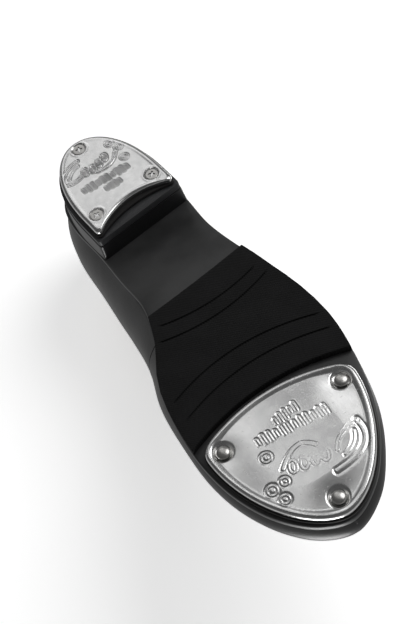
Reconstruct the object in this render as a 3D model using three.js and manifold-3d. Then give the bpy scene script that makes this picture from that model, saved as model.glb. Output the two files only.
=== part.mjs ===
import * as THREE from 'three';
import { mergeGeometries, mergeVertices } from 'three/addons/utils/BufferGeometryUtils.js';
import Module from 'manifold-3d';

// Right-foot tap shoe, standing upright on its two taps. Toe towards -Y, inner side towards +X, Z up.
// It is laid out in a shoe frame, in mm: u runs forward from the back of the heel, v towards the inner
// side of the foot, z up. The heel and the toe tap are groups of their own, turned within that frame.

// ---- overall ----
const SOLE_LENGTH = 249.6;        // outsole, back of the seat to the toe
const BALL_WIDTH = 83.3;          // outsole across the ball
const BACK_HEIGHT = 84.0;         // topline above the floor at the back seam
const BREAST_HEIGHT = 19.0;       // floor to the outsole at the heel breast
const SEAT_SLOPE = 0.085;         // rise of the seat per mm towards the back
const FIT = 0.3;                  // gap left between pieces that touch

// ---- taps, boards and their fasteners ----
const TAP_THICK = 2.8;
const RIM_ROUND = 0.7;            // rounding of a tap's rim
const RIM_WIDE = 3.0;             // plain border round the sunk field of a tap
const FIELD_DEPTH = 0.4;
const BOARD_THICK = 1.4;
const SCREW_HEAD = 3.3;           // radii
const SCREW_SHANK = 1.9;
const RIVET_HEAD = 3.05;
const RIVET_SHANK = 1.5;
const DISH = 4.3;
const WASHER = 3.2;
const SCREW_TIP = 13.6;           // height that the heel screws reach
const HEEL_TURN = THREE.MathUtils.degToRad(3.5);      // heel turned outwards
const TOE_TURN = THREE.MathUtils.degToRad(4.5);       // toe tap turned inwards
const TOE_SPRING = THREE.MathUtils.degToRad(2.2);     // lift of the toe tap towards the tip

// ---- bottom ----
const SOLE_THICK = 3.5;
const RUBBER_THICK = 3.3;
const RUBBER_INSET = 0.4;
const GROOVE_WIDE = 0.9;
const GROOVE_DEEP = 0.8;
const LIFT_THICK = 4.0;
const INSOLE_THICK = 2.0;
const SOCK_THICK = 3.0;
const SHANK_THICK = 1.6;
const SHANK_HALF = 6.0;

// ---- upper ----
const UPPER_THICK = 1.3;
const LINING_THICK = 0.8;
const STIFFENER_THICK = 1.0;      // heel counter and toe puff
const STAY_THICK = 0.9;
const MARGIN = 9.0;               // upper turned in under the insole
const WASHER_CLEAR = 1.0;         // round the toe it stops this far short of the rivet washers
const FEATHER_INSET = 0.8;        // the upper stands this far inside the sole edge
const BINDING_RADIUS = 1.25;
const STRAP_THICK = 1.3;
const PATCH_THICK = 0.8;          // fastening patches

// ---- plan, drawn at one size and graded to SOLE_LENGTH and BALL_WIDTH ----
const DRAWN_LENGTH = 249.6;
const DRAWN_WIDTH = 83.3;
const U_SCALE = SOLE_LENGTH / DRAWN_LENGTH;
const V_SCALE = BALL_WIDTH / DRAWN_WIDTH;
// sole edge, [u, v] from the back seam to the toe tip; the stations of the upper are these points
const BACK = [-2, -2.6];
const TIP = [247.6, 8.2];
const INNER = [[1.5, 9.5], [12, 17.6], [28, 20.8], [55, 19.8], [80, 20.4], [104, 21], [126, 27.2],
  [147, 38.2], [170, 43], [193, 43.8], [213, 40.2], [230, 32.4], [242.5, 21]];
const OUTER = [[1.5, -15.5], [12, -25], [28, -30], [54, -31.4], [80, -30], [104, -31.4],
  [126, -35.2], [147, -39], [168, -39.9], [190, -36.3], [212, -29.2], [229, -19], [241.5, -6.5]];
const STATIONS = INNER.length + 1;
const BREAST_U = 58 * U_SCALE;
const BALL_U = 122 * U_SCALE;
const SPRING_U = 181 * U_SCALE;
// rivets of the toe tap, forward from its rear edge and towards the inner side
const RIVETS = [[14, 28.8], [14, -28.8], [57.6, 0]].map(([a, b]) => [a * U_SCALE, b * V_SCALE]);

// crest of the foot shape above each station, [u, v, z]
const CREST = [[30, -4, 104], [31, -4, 104], [33, -4.3, 102.5], [38, -4.8, 99.5], [57, -5.5, 92.5],
  [80, -4, 82.5], [104, -2.5, 74], [126, -1, 65.5], [147, 1, 57], [168, 3.5, 49.5], [188, 5.8, 43.2],
  [204, 7.5, 38.6], [215, 8, 35.8], [221, 8.2, 34.4], [224, 8.3, 34]];
// how far the wall of the upper swells out over the sole edge at each station
const BULGE_INNER = [4.5, 4.8, 5.4, 6.5, 9.5, 11.2, 12.6, 10, 5.4, 3.2, 2.8, 2.6, 2.6, 2.6, 2.6];
const BULGE_OUTER = [4.5, 4.5, 4.5, 5, 5, 5, 5, 4.5, 4, 3.5, 3, 2.8, 2.6, 2.6, 2.6];
const BULGE_PEAK = 12.2;          // brings s * (1 - s) ** 4 to 1 at its highest
// topline above BACK_HEIGHT at each station, from the back seam to the throat
const TOPLINE = [0, -0.5, -4, -12, -22, -27, -28.5, -29, -26.6];

const { clamp, lerp, smoothstep } = THREE.MathUtils;
const vector = (u, v, z = 0) => new THREE.Vector3(u, v, z);

// smooth run through evenly spaced values
function along(values, t) {
  const last = values.length - 1;
  const i = clamp(Math.floor(t), 0, last - 1);
  const k = clamp(t - i, 0, 1);
  const [a, b, c, d] = [Math.max(0, i - 1), i, i + 1, Math.min(last, i + 2)].map((n) => values[n]);
  const bend = (2 * a - 5 * b + 4 * c - d) * k ** 2 + (3 * b - a - 3 * c + d) * k ** 3;
  return b + 0.5 * ((c - a) * k + bend);
}

// ================= the frames of heel and toe =================
const HEEL_OFFSET = -2.7 * V_SCALE;
const TOE_OFFSET = 4.0 * V_SCALE;
const heel = new THREE.Group();   // h forward from the back, w towards the inner side
heel.rotation.z = -HEEL_TURN;
heel.position.set(0, HEEL_OFFSET, 0);
heel.updateMatrix();
const toe = new THREE.Group();    // a forward from the tap's rear edge, b towards the inner side
toe.rotation.set(0, -TOE_SPRING, TOE_TURN);
toe.position.set(SPRING_U, TOE_OFFSET, 0);
toe.updateMatrix();
const heelPoint = (h, w) => vector(h, w).applyMatrix4(heel.matrix);

// ================= shape of the bottom and of the foot =================
const graded = ([u, v]) => vector(u * U_SCALE, v * V_SCALE);
const soleEdge = new THREE.CatmullRomCurve3(
  [BACK, ...INNER, TIP, ...[...OUTER].reverse()].map(graded), true, 'centripetal');
const SOLE_LOW = TAP_THICK + FIT + BOARD_THICK + FIT;    // underside of the outsole at the ball

// height of the underside of the outsole: sloping seat, waist running down to the ball, toe spring
function soleUnder(u) {
  if (u < BREAST_U) return BREAST_HEIGHT + (BREAST_U - u) * SEAT_SLOPE;
  if (u > BALL_U) return SOLE_LOW + Math.max(0, u - SPRING_U) * Math.tan(TOE_SPRING);
  const drop = BREAST_HEIGHT - SOLE_LOW;
  const x = (u - BREAST_U) / (BALL_U - BREAST_U);
  const slope = -SEAT_SLOPE * (BALL_U - BREAST_U) / drop;
  return SOLE_LOW + drop * (2 * x ** 3 - 3 * x * x + 1 + slope * (x ** 3 - 2 * x * x + x));
}
const soleTop = (u) => soleUnder(u) + SOLE_THICK;

// point of the sole edge at a station, moved inwards by inset; side is 1 inner, -1 outer
function edge(side, t, inset) {
  const share = (side > 0 ? t : 2 * STATIONS - t) / (2 * STATIONS);
  const around = (k) => soleEdge.getPoint((k + 1) % 1);
  const point = around(share);
  const run = around(share + 0.002).sub(around(share - 0.002)).normalize();
  return point.add(vector(run.y, -run.x).multiplyScalar(inset));
}

const crestAt = (t) => vector(...[U_SCALE, V_SCALE, 1].map((scale, n) => scale
  * along(CREST.map((point) => point[n]), t)));

// Outer face of the lasted upper at station t. q is 0 on the crest, 1 at the inner feather edge and -1
// at the outer one. Beyond them lies the margin turned in under the insole, up to LAST_Q. Round the toe
// the walls leave the crest forwards, and fall with it.
const LAST_Q = 1.25;
const rivetRoom = Math.min(...RIVETS.map(([a, b]) => {
  const rivet = vector(a, b).applyMatrix4(toe.matrix).setZ(0);
  return Math.min(...soleEdge.getSpacedPoints(500).map((point) => point.distanceTo(rivet)));
}));
const toeMargin = rivetRoom - FEATHER_INSET - WASHER - WASHER_CLEAR;
const marginAt = (t) => lerp(MARGIN, toeMargin, smoothstep(t, 7.4, 9.2));
function last(t, q) {
  if (t < 0) return last(-t, -q);
  if (t > STATIONS) return last(2 * STATIONS - t, -q);
  const side = q < 0 ? -1 : 1;
  const s = 1 - Math.abs(q);
  const foot = edge(side, t, FEATHER_INSET - Math.min(0, s) / (LAST_Q - 1) * marginAt(t));
  foot.z = soleTop(foot.x) + FIT;
  if (s <= 0) return foot;
  const outwards = edge(side, t, FEATHER_INSET - 1).sub(edge(side, t, FEATHER_INSET));
  const crest = crestAt(t);
  const before = crestAt(Math.max(0, t - 0.5));
  const after = crestAt(Math.min(STATIONS, t + 0.5));
  const fall = (after.z - before.z) / (after.x - before.x) * smoothstep(t, 8, 10) * smoothstep(s, 0.4, 1);
  const rise = s * Math.PI / 2;
  const fullness = lerp(0.6, 0.88, smoothstep(t, 5, 9));
  const inwards = s === 1 ? 1 : 1 - Math.cos(rise) ** fullness;
  const bulge = along(side > 0 ? BULGE_INNER : BULGE_OUTER, t) * BULGE_PEAK * s * (1 - s) ** 4;
  const point = foot.clone().lerp(crest, inwards);
  point.z = foot.z + (crest.z - foot.z) * Math.sin(rise) ** 0.9 + fall * (point.x - crest.x);
  return point.addScaledVector(outwards, bulge);
}

// direction square to that face, pointing out of the foot
function facing(t, q) {
  const [step, turn] = [0.03, 0.015];
  const ahead = last(t + step, q).sub(last(t - step, q));
  const across = last(t, q + turn).sub(last(t, q - turn));
  const normal = ahead.cross(across);
  if (normal.length() < 1e-4) return facing(t - 10 * step, q);   // the crest ends on the toe
  const point = last(t, q);
  const heart = vector(crestAt(clamp(Math.abs(t), 0, STATIONS)).x, 0, soleTop(point.x) + 12);
  return normal.normalize().multiplyScalar(Math.sign(normal.dot(point.sub(heart))));
}

// the face moved outwards; where wall and margin meet at the feather edge the corner is mitred
function skin(t, q, out) {
  if (Math.abs(q) !== 1) return last(t, q).addScaledVector(facing(t, q), out);
  const wall = facing(t, q * 0.98);
  const under = vector(0, 0, -1);
  const reach = out / (1 + wall.dot(under));
  return last(t, q).addScaledVector(wall.add(under), reach);
}

// share of the way up to the crest at which the topline cuts a station
function topShare(side, t) {
  const z = BACK_HEIGHT + along(TOPLINE, t);
  const low = soleTop(edge(side, t, FEATHER_INSET).x) + FIT;
  const high = crestAt(t).z;
  return Math.asin(clamp((z - low) / (high - low), 0, 0.9995) ** (1 / 0.9)) * 2 / Math.PI;
}

// ================= making solids =================
const wasm = await Module();
wasm.setup();

// moves every corner of a geometry to place(corner)
function moved(geometry, place) {
  const corners = geometry.getAttribute('position');
  for (let i = 0; i < corners.count; i++) {
    const to = place(vector(corners.getX(i), corners.getY(i), corners.getZ(i)));
    corners.setXYZ(i, to.x, to.y, to.z);
  }
  return geometry;
}

// one closed body: corners that fall together are joined, empty faces dropped, faces turned outwards
function welded(...parts) {
  const bare = parts.map((part) => {
    const copy = part.index ? part.toNonIndexed() : part.clone();
    copy.deleteAttribute('normal');
    copy.deleteAttribute('uv');
    return copy;
  });
  const body = mergeVertices(mergeGeometries(bare));
  const corner = (n) => vector().fromBufferAttribute(body.getAttribute('position'), n);
  const faces = [];
  let volume = 0;
  for (let i = 0; i < body.index.count; i += 3) {
    const [a, b, c] = [0, 1, 2].map((k) => body.index.getX(i + k));
    if (a !== b && b !== c && c !== a) {
      faces.push([a, b, c]);
      volume += corner(a).dot(corner(b).cross(corner(c)));
    }
  }
  return body.setIndex(faces.flatMap(([a, b, c]) => (volume < 0 ? [a, c, b] : [a, b, c])));
}

// Plate between two faces, low(x, y) and high(x, y), each made of rows by cols cells. A zipped plate
// has no wall at x = 0, because its first row is folded together there.
function plate(rows, cols, low, high, zipped = false) {
  const grid = (n, m, place, turned) => {
    const flat = new THREE.PlaneGeometry(1, 1, n, m);
    if (turned) flat.index.array.reverse();
    return moved(flat, (p) => place(Math.round((p.x + 0.5) * n) / n, Math.round((p.y + 0.5) * m) / m));
  };
  const at = (x, y, z) => (z > 0 ? high : low)(x, y);
  const walls = [grid(rows, 1, (x, z) => at(x, 0, z), false), grid(rows, 1, (x, z) => at(x, 1, z), true),
    grid(cols, 1, (y, z) => at(1, y, z), false)];
  if (!zipped) walls.push(grid(cols, 1, (y, z) => at(0, y, z), true));
  return welded(grid(rows, cols, high, false), grid(rows, cols, low, true), ...walls);
}

// flat piece of an outline between two heights
function slice(outline, low, high, curveSegments = 8) {
  const depth = high - low;
  return welded(new THREE.ExtrudeGeometry(outline, { depth, bevelEnabled: false, curveSegments })
    .translate(0, 0, low));
}
// turned piece about an upright line through x, y; the profile is [radius, height]
function turned(x, y, profile, sides = 16) {
  const points = profile.map(([radius, height]) => new THREE.Vector2(radius, height));
  return welded(new THREE.LatheGeometry(points, sides).rotateX(Math.PI / 2).translate(x, y, 0));
}
const drill = (x, y, radius, low, high) => turned(x, y, [[0, low], [radius, low], [radius, high],
  [0, high]]);

// copies of solids of a group, placed in the shoe
const inShoe = (group, tools) => tools.map((tool) => tool.clone().applyMatrix4(group.matrix));

const solid = (geometry) => new wasm.Manifold(new wasm.Mesh({
  numProp: 3,
  vertProperties: geometry.getAttribute('position').array,
  triVerts: new Uint32Array(geometry.index.array),
}));
function cut(geometry, ...tools) {
  const mesh = tools.reduce((body, tool) => body.subtract(solid(tool)), solid(geometry)).getMesh();
  const left = new THREE.BufferGeometry();
  left.setAttribute('position', new THREE.BufferAttribute(mesh.vertProperties, 3));
  return left.setIndex([...mesh.triVerts]);
}

// ================= cast taps =================
// Ornament of a tap, as solids to be kept standing in its sunk field: a round boss between arcs
// [radius, width, from, to] in degrees and rows of short bars, one row on each side.
const BOSS = 5.5;
function ornament(middle, arcs, bars) {
  const marks = arcs.map(([radius, wide, from, to]) => {
    const [a, b] = [from, to].map(THREE.MathUtils.degToRad);
    return new THREE.Shape().absarc(middle, 0, radius + wide / 2, a, b, false)
      .absarc(middle, 0, radius - wide / 2, b, a, true);
  });
  for (const side of [-1, 1]) {
    for (let n = 0; n < bars.count; n++) {
      const w = side * (bars.first + n * bars.pitch);
      const [h, end] = [bars.wide / 2, bars.long / 2 - bars.wide / 2];
      marks.push(new THREE.Shape().absarc(middle + end, w, h, -Math.PI / 2, Math.PI / 2, false)
        .absarc(middle - end, w, h, Math.PI / 2, 3 * Math.PI / 2, false));
    }
  }
  return [drill(middle, 0, BOSS, -2, 2), ...marks.map((mark) => slice(mark, -2, 2, 6))];
}
// plate with a rounded rim and a sunk field, in which the kept solids stand flush with the rim
function castTap(outline, field, kept, holes) {
  const body = welded(new THREE.ExtrudeGeometry(outline, {
    depth: TAP_THICK - 2 * RIM_ROUND,
    bevelThickness: RIM_ROUND,
    bevelSize: RIM_ROUND,
    bevelOffset: -RIM_ROUND,
    bevelSegments: 2,
    curveSegments: 8,
  }).translate(0, 0, RIM_ROUND));
  return cut(body, cut(slice(field, -1, FIELD_DEPTH), ...kept), ...holes);
}

// ================= heel =================
// outline of a heel layer: blunt oval back, straight sides, small corners, front edge sagging inwards
const HEEL_ROUND = 44 * U_SCALE;  // length of the oval back
function heelOutline({ back, half, front, sag, corner }) {
  const oval = 0.39 * HEEL_ROUND;
  const tip = front - corner / 4;
  return new THREE.Shape().moveTo(back, 0)
    .bezierCurveTo(back, 0.58 * half, back + oval, half, back + HEEL_ROUND, half)
    .lineTo(front - corner, half)
    .quadraticCurveTo(front, half, tip, half - corner)
    .quadraticCurveTo(tip - 2 * sag, 0, tip, corner - half)
    .quadraticCurveTo(front, -half, front - corner, -half)
    .lineTo(back + HEEL_ROUND, -half)
    .bezierCurveTo(back + oval, -half, back, -0.58 * half, back, 0);
}
const heelSizes = (back, half, front, sag, corner) => ({
  back: back * U_SCALE,
  half: half * V_SCALE,
  front: front * U_SCALE,
  sag: sag * U_SCALE,
  corner,
});
const inset = ({ back, half, front, sag, corner }, by) => ({
  back: back + by,
  half: half - by,
  front: front - by,
  sag,
  corner,
});
const HEEL_TAP = heelSizes(1, 22.8, 57, 6.6, 2.2);
const HEEL_BOARD = heelSizes(0.9, 23.1, 57.4, 4.2, 2.2);
const HEEL_LIFT = heelSizes(0, 24.4, 58.4, 0.4, 1);
const HEEL_MIDDLE = 28 * U_SCALE;
const SCREWS = [[6.5, 0], [47.5, 16.6], [47.5, -16.6]].map(([h, w]) => [h * U_SCALE, w * V_SCALE]);
// nails driven down from the insole, and the thicker fixing screw among them: [h, w, radius]
const NAILS = [[15, 0, 1], [31, 11, 1], [31, -11, 1], [50, 0, 1], [28, 0, 2.1]]
  .map(([h, w, radius]) => [h * U_SCALE, w * V_SCALE, radius]);

const boardLow = TAP_THICK + FIT;
const boardHigh = boardLow + BOARD_THICK;
const liftLow = boardHigh + FIT;
const liftHigh = liftLow + LIFT_THICK;
const blockLow = liftHigh + FIT;

const SINK_DEEP = 2.2;            // depth of the countersink
const RECESS_DEEP = 1.3;          // cross recess of a screw head
const RECESS_LONG = 3.5;
const RECESS_WIDE = 0.84;
const heelKept = [
  ...SCREWS.map(([h, w]) => drill(h, w, SCREW_HEAD + 1.3, -2, 2)),
  ...ornament(HEEL_MIDDLE, [[9.5, 3, 110, 250], [14, 2.4, 118, 242], [9.5, 2.6, -50, 50]],
    { first: 8.2, pitch: 3, count: 3, wide: 1.7, long: 6 }),
];
const sinks = SCREWS.map(([h, w]) => turned(h, w, [[0, -1], [SCREW_HEAD + FIT, -1],
  [SCREW_HEAD + FIT, 0.55], [SCREW_SHANK + FIT, SINK_DEEP], [SCREW_SHANK + FIT, TAP_THICK + 1],
  [0, TAP_THICK + 1]]));
const heelTap = castTap(heelOutline(HEEL_TAP), heelOutline(inset(HEEL_TAP, RIM_WIDE)), heelKept, sinks);
function heelScrew([h, w]) {
  const body = turned(h, w, [[0, 0.25], [SCREW_HEAD - 0.15, 0.25], [SCREW_HEAD, 0.4],
    [SCREW_SHANK, SINK_DEEP - 0.1], [SCREW_SHANK, SCREW_TIP - 1.6], [0.7, SCREW_TIP], [0, SCREW_TIP]]);
  const arms = [[RECESS_LONG, RECESS_WIDE], [RECESS_WIDE, RECESS_LONG]].map(([long, wide]) => welded(
    new THREE.BoxGeometry(long, wide, 2 * RECESS_DEEP).translate(h, w, 0)));
  return cut(body, ...arms);
}

// the heel widens from the bottom of its top lift to the sole, most of all towards the back
const BACK_FLARE = 0.031;
const SIDE_FLARE = 0.037;
function flared(geometry) {
  return moved(geometry, (p) => {
    const share = (p.z - liftLow) / (BREAST_HEIGHT - liftLow);
    p.x -= (HEEL_LIFT.front - p.x) * BACK_FLARE * share;
    p.y *= 1 + SIDE_FLARE * share;
    return p;
  });
}
// the upper face of the block follows the slope of the seat
function seated(geometry) {
  return moved(geometry, (p) => {
    if (p.z > BREAST_HEIGHT - 1) p.z = soleUnder(heelPoint(p.x, p.y).x) - FIT;
    return p;
  });
}
const screwHoles = SCREWS.map(([h, w]) => drill(h, w, SCREW_SHANK + FIT, 0, SCREW_TIP + 1));
const nailHoles = (low) => NAILS.map(([h, w, radius]) => drill(h, w, radius + FIT, low, 60));
const heelBoard = cut(slice(heelOutline(HEEL_BOARD), boardLow, boardHigh), ...screwHoles);
const heelLift = cut(flared(slice(heelOutline(HEEL_LIFT), liftLow, liftHigh)), ...screwHoles);
const NAIL_LOW = blockLow + 2.6;
const heelBlock = cut(seated(flared(slice(heelOutline(HEEL_LIFT), blockLow, BREAST_HEIGHT))),
  ...screwHoles, ...nailHoles(NAIL_LOW - FIT));

// ================= toe tap and its board =================
// outline of the toe tap, grown all round: rear edge sweeping back in the middle, sides to a round toe
const TOE_TAP_LENGTH = 65.8 * U_SCALE;
const TOE_TAP_HALF = 36.2 * V_SCALE;
const TOE_SWEEP = 6.0 * U_SCALE;
const TOE_SHOULDER = 13 * U_SCALE;
const TOE_ROUND = 0.445;          // fullness of the sides
function toeOutline(grow) {
  const half = TOE_TAP_HALF + grow;
  const front = TOE_TAP_LENGTH + grow;
  const [corner, end] = [TOE_SWEEP - grow, 0.83 * half];
  const side = lerp(TOE_SHOULDER, front, TOE_ROUND);
  return new THREE.Shape().moveTo(corner, -end)
    .quadraticCurveTo(0.66 * TOE_SHOULDER, -half, TOE_SHOULDER, -half)
    .bezierCurveTo(side, -half, front, -TOE_ROUND * half, front, 0)
    .bezierCurveTo(front, TOE_ROUND * half, side, half, TOE_SHOULDER, half)
    .quadraticCurveTo(0.66 * TOE_SHOULDER, half, corner, end)
    .quadraticCurveTo(-TOE_SWEEP - grow, 0, corner, -end);
}
const TOE_MIDDLE = 31 * U_SCALE;
const HEAD_TOP = 1.2;             // a rivet head lies in its dish between these heights
const HEAD_LOW = 0.2;
const toeKept = [
  ...RIVETS.map(([a, b]) => drill(a, b, DISH + 1, -2, 2)),
  ...ornament(TOE_MIDDLE, [[10.5, 4.2, -70, 70], [16, 3.2, -62, 62], [10.5, 3, 128, 232]],
    { first: 10.2, pitch: 3.2, count: 4, wide: 1.9, long: 7 }),
];
const dishes = RIVETS.map(([a, b]) => turned(a, b, [[0, -1], [DISH, -1], [DISH, 0], [DISH - 0.35, 0.7],
  [RIVET_HEAD + FIT, HEAD_TOP + FIT], [RIVET_SHANK + FIT, HEAD_TOP + FIT],
  [RIVET_SHANK + FIT, TAP_THICK + 1], [0, TAP_THICK + 1]]));
const toeTap = castTap(toeOutline(0), toeOutline(-RIM_WIDE), toeKept, dishes);
const rivetHoles = RIVETS.map(([a, b]) => drill(a, b, RIVET_SHANK + FIT, 1, SOLE_LOW + SOLE_THICK + 6));
const toeBoard = cut(slice(toeOutline(0.6), boardLow, boardHigh), ...rivetHoles);

// a rivet passes up through tap, board and sole, and is clenched over a washer
const washerLow = SOLE_LOW + SOLE_THICK + FIT;
const WASHER_THICK = 0.7;
const dome = [0, 1, 2, 3, 4, 5].map((n) => n / 5 * Math.PI / 2)
  .map((a) => [RIVET_HEAD * Math.sin(a), HEAD_TOP - (HEAD_TOP - HEAD_LOW) * Math.cos(a)]);
const rivet = ([a, b]) => turned(a, b, [...dome, [RIVET_SHANK, HEAD_TOP],
  [RIVET_SHANK, washerLow + WASHER_THICK + 0.2], [RIVET_SHANK + 0.7, washerLow + WASHER_THICK + 0.3],
  [RIVET_SHANK + 0.4, washerLow + WASHER_THICK + 0.8], [0, washerLow + WASHER_THICK + 0.8]]);
const washer = ([a, b]) => turned(a, b, [[RIVET_SHANK + FIT, washerLow], [WASHER, washerLow],
  [WASHER, washerLow + WASHER_THICK], [RIVET_SHANK + FIT, washerLow + WASHER_THICK],
  [RIVET_SHANK + FIT, washerLow]]);

// ================= outsole and rubber half sole =================
// plate that follows the sole plan from one station to another, between two heights over u
function layer(insetAt, from, to, low, high, rows, cols) {
  const face = (height) => (x, y) => {
    const t = lerp(from, to, x);
    const point = edge(-1, t, insetAt(t)).lerp(edge(1, t, insetAt(t)), y);
    point.z = height(point.x);
    return point;
  };
  return plate(rows, cols, face(low), face(high));
}
const nailThrough = inShoe(heel, nailHoles(5));
const outsole = cut(layer(() => 0, 0, STATIONS, soleUnder, soleTop, 36, 4),
  ...inShoe(toe, rivetHoles), ...nailThrough);

// u of a crosswise line through three plan points, at a given v
const crossing = ([p, q, r]) => (v) => {
  const share = (a, b, c) => a[0] * (v / V_SCALE - b[1]) * (v / V_SCALE - c[1])
    / ((a[1] - b[1]) * (a[1] - c[1]));
  return (share(p, q, r) + share(q, r, p) + share(r, p, q)) * U_SCALE;
};
const rubberRear = crossing([[109.4, -36], [112.6, 0], [113.7, 36]]);
const rubberFront = crossing([[187.1, -37], [177.6, 3], [182.5, 40]]);
const GROOVES = [[[122.4, 21], [127.2, -4], [125, -28]], [[129.6, 25.5], [134.8, -2], [131, -31]],
  [[159.5, 37], [154.6, 5], [164.2, -35]], [[170, 37], [164.8, 4], [173.4, -35]]];

// v of the rubber's side at a given u, found by halving the run of stations beside it
function rubberSide(side, u) {
  let [near, far] = [4, 12.4];
  for (let n = 0; n < 30; n++) {
    const middle = (near + far) / 2;
    if (edge(side, middle, RUBBER_INSET).x < u) near = middle;
    else far = middle;
  }
  return edge(side, near, RUBBER_INSET).y;
}
// its ends are curved in v and its sides in u, so each point is settled in a few rounds
const rubberFace = (drop) => (x, y) => {
  let v = lerp(-BALL_WIDTH / 2, BALL_WIDTH / 2, y) * 0.9;
  let u = 0;
  for (let n = 0; n < 8; n++) {
    u = lerp(rubberRear(v), rubberFront(v), x);
    v = lerp(rubberSide(-1, u), rubberSide(1, u), y);
  }
  return vector(u, v, soleUnder(u) - FIT - drop);
};
// slot for one groove, its floor following the face of the rubber
function groove([p, q, r]) {
  const [start, middle, end] = [p, q, r].map(graded);
  const pull = middle.multiplyScalar(2).sub(start.clone().add(end).divideScalar(2));
  const half = GROOVE_WIDE / 2;
  const slot = new THREE.Shape().moveTo(start.x + half, start.y)
    .quadraticCurveTo(pull.x + half, pull.y, end.x + half, end.y)
    .lineTo(end.x - half, end.y)
    .quadraticCurveTo(pull.x - half, pull.y, start.x - half, start.y);
  return moved(slice(slot, -3, 0, 14), (point) => {
    if (point.z > -1) point.z = soleUnder(point.x) - FIT - RUBBER_THICK + GROOVE_DEEP;
    return point;
  });
}
const rubber = cut(plate(12, 10, rubberFace(RUBBER_THICK), rubberFace(0)), ...GROOVES.map(groove));

// ================= inside the bottom =================
// depth of the lining under the face of the upper: it steps over the counter and the toe puff
function liningDepth(t, s) {
  const stiffened = 1 - smoothstep(Math.abs(t), 3.5, 4.4) + smoothstep(t, 10.6, 11.5);
  return UPPER_THICK + FIT + (STIFFENER_THICK + FIT) * smoothstep(s, 0, 0.05) * stiffened;
}
const TURNED_IN = FIT + UPPER_THICK + FIT + LINING_THICK + FIT;   // margins under the insole
const insoleLow = (u) => soleTop(u) + TURNED_IN + 0.35;
const insoleHigh = (u) => insoleLow(u) + INSOLE_THICK;
const insoleInset = (t) => FEATHER_INSET + liningDepth(t, 1) + LINING_THICK + FIT + 1.2;
const fillerInset = (t) => FEATHER_INSET + marginAt(t) + 2.2;
const filler = cut(layer(fillerInset, 7.6, 13.2, (u) => soleTop(u) + FIT, (u) => insoleLow(u) - FIT,
  12, 4), ...inShoe(toe, RIVETS.map(([a, b]) => drill(a, b, WASHER + 0.4, 5, 16))));
const shankFace = (height) => (x, y) => {
  const taper = 1 - 0.25 * Math.abs(x - 0.5);
  const h = lerp(13, 116, x) * U_SCALE;
  const point = heelPoint(h, lerp(-SHANK_HALF, SHANK_HALF, y) * taper + 0.03 * h);
  point.z = soleTop(point.x) + 2 * FIT + height;
  return point;
};
const shank = cut(plate(18, 2, shankFace(0), shankFace(SHANK_THICK)), ...nailThrough);
const ENDS = [0.02, STATIONS - 0.02];
const insole = cut(layer(insoleInset, ...ENDS, insoleLow, insoleHigh, 24, 4), ...nailThrough);
const sockLow = (u) => insoleHigh(u) + 0.9;
const sock = layer((t) => insoleInset(t) + FIT, ...ENDS, sockLow, (u) => sockLow(u) + SOCK_THICK, 24, 4);
function nail([h, w, radius]) {
  const top = insoleHigh(heelPoint(h, w).x) + 0.25;
  return turned(h, w, [[0, NAIL_LOW], [radius / 2, NAIL_LOW], [radius, NAIL_LOW + 1.6], [radius, top],
    [0, top]], 12);
}

// ================= upper =================
const SEAM = 8;                   // station of the throat
const THROAT = 0.9;               // share of the way up to the crest at which the throat begins
const SEAM_GAP = 0.012;           // half the gap along a seam, in stations
const seam = (s) => SEAM - 1.15 * (1 - s) ** 1.4;      // the vamp seam runs back towards the sole

// columns shared by vamp and quarters: the turned-in margin, the wall up to the throat, the crest
const MARGIN_COLS = 2;
const WALL_COLS = 7;
const HALF_COLS = MARGIN_COLS + WALL_COLS + 1;
const VAMP_ROWS = 14;
function columnShare(col) {
  if (col <= MARGIN_COLS) return (col / MARGIN_COLS - 1) * (LAST_Q - 1);
  return col >= HALF_COLS ? 1 : (col - MARGIN_COLS) / WALL_COLS * THROAT;
}
// piece of the forepart from the toe back over some rows, its columns starting skip from each side
function vampPiece(low, high, skip = 0, rows = VAMP_ROWS) {
  const face = (depth) => (x, y) => {
    const col = Math.round(y * 2 * (HALF_COLS - skip)) + skip;
    const s = columnShare(Math.min(col, 2 * HALF_COLS - col));
    const side = col < HALF_COLS ? -1 : 1;
    const t = lerp(STATIONS, seam(Math.max(0, s)) + SEAM_GAP, x * rows / VAMP_ROWS);
    return skin(t, side * (1 - s), -depth(t, s));
  };
  return plate(rows, 2 * (HALF_COLS - skip), face(low), face(high), true);
}
const upperLow = () => 0;
const upperHigh = () => UPPER_THICK;
const stiffLow = () => UPPER_THICK + FIT;
const stiffHigh = () => UPPER_THICK + FIT + STIFFENER_THICK;
const liningHigh = (t, s) => liningDepth(t, s) + LINING_THICK;
const vamp = vampPiece(upperLow, upperHigh);
const vampLining = vampPiece(liningDepth, liningHigh);
const toePuff = vampPiece(stiffLow, stiffHigh, 3, 5);

// rows of a quarter run from the vamp seam to the back seam, closer together at the throat
const ROWS = 18;
const alongQuarter = (from, x) => lerp(from, SEAM_GAP, x ** 1.25);
const rowTop = (x) => alongQuarter(seam(THROAT) - SEAM_GAP, x);
function quarterPoint(side, row, col, depth) {
  const c = columnShare(col);
  const full = Math.min(THROAT, topShare(side, rowTop(row / ROWS)));
  const s = c > 0 ? c * full / THROAT : c;
  const t = alongQuarter(seam(Math.max(0, c)) - SEAM_GAP, row / ROWS);
  return skin(t, side * (1 - s), -depth(t, s));
}
function quarterPiece(side, low, high) {
  const cols = HALF_COLS - 1;
  const face = (depth) => (x, y) => quarterPoint(side, Math.round(x * ROWS), Math.round(y * cols), depth);
  return plate(ROWS, cols, face(low), face(high));
}

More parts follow.
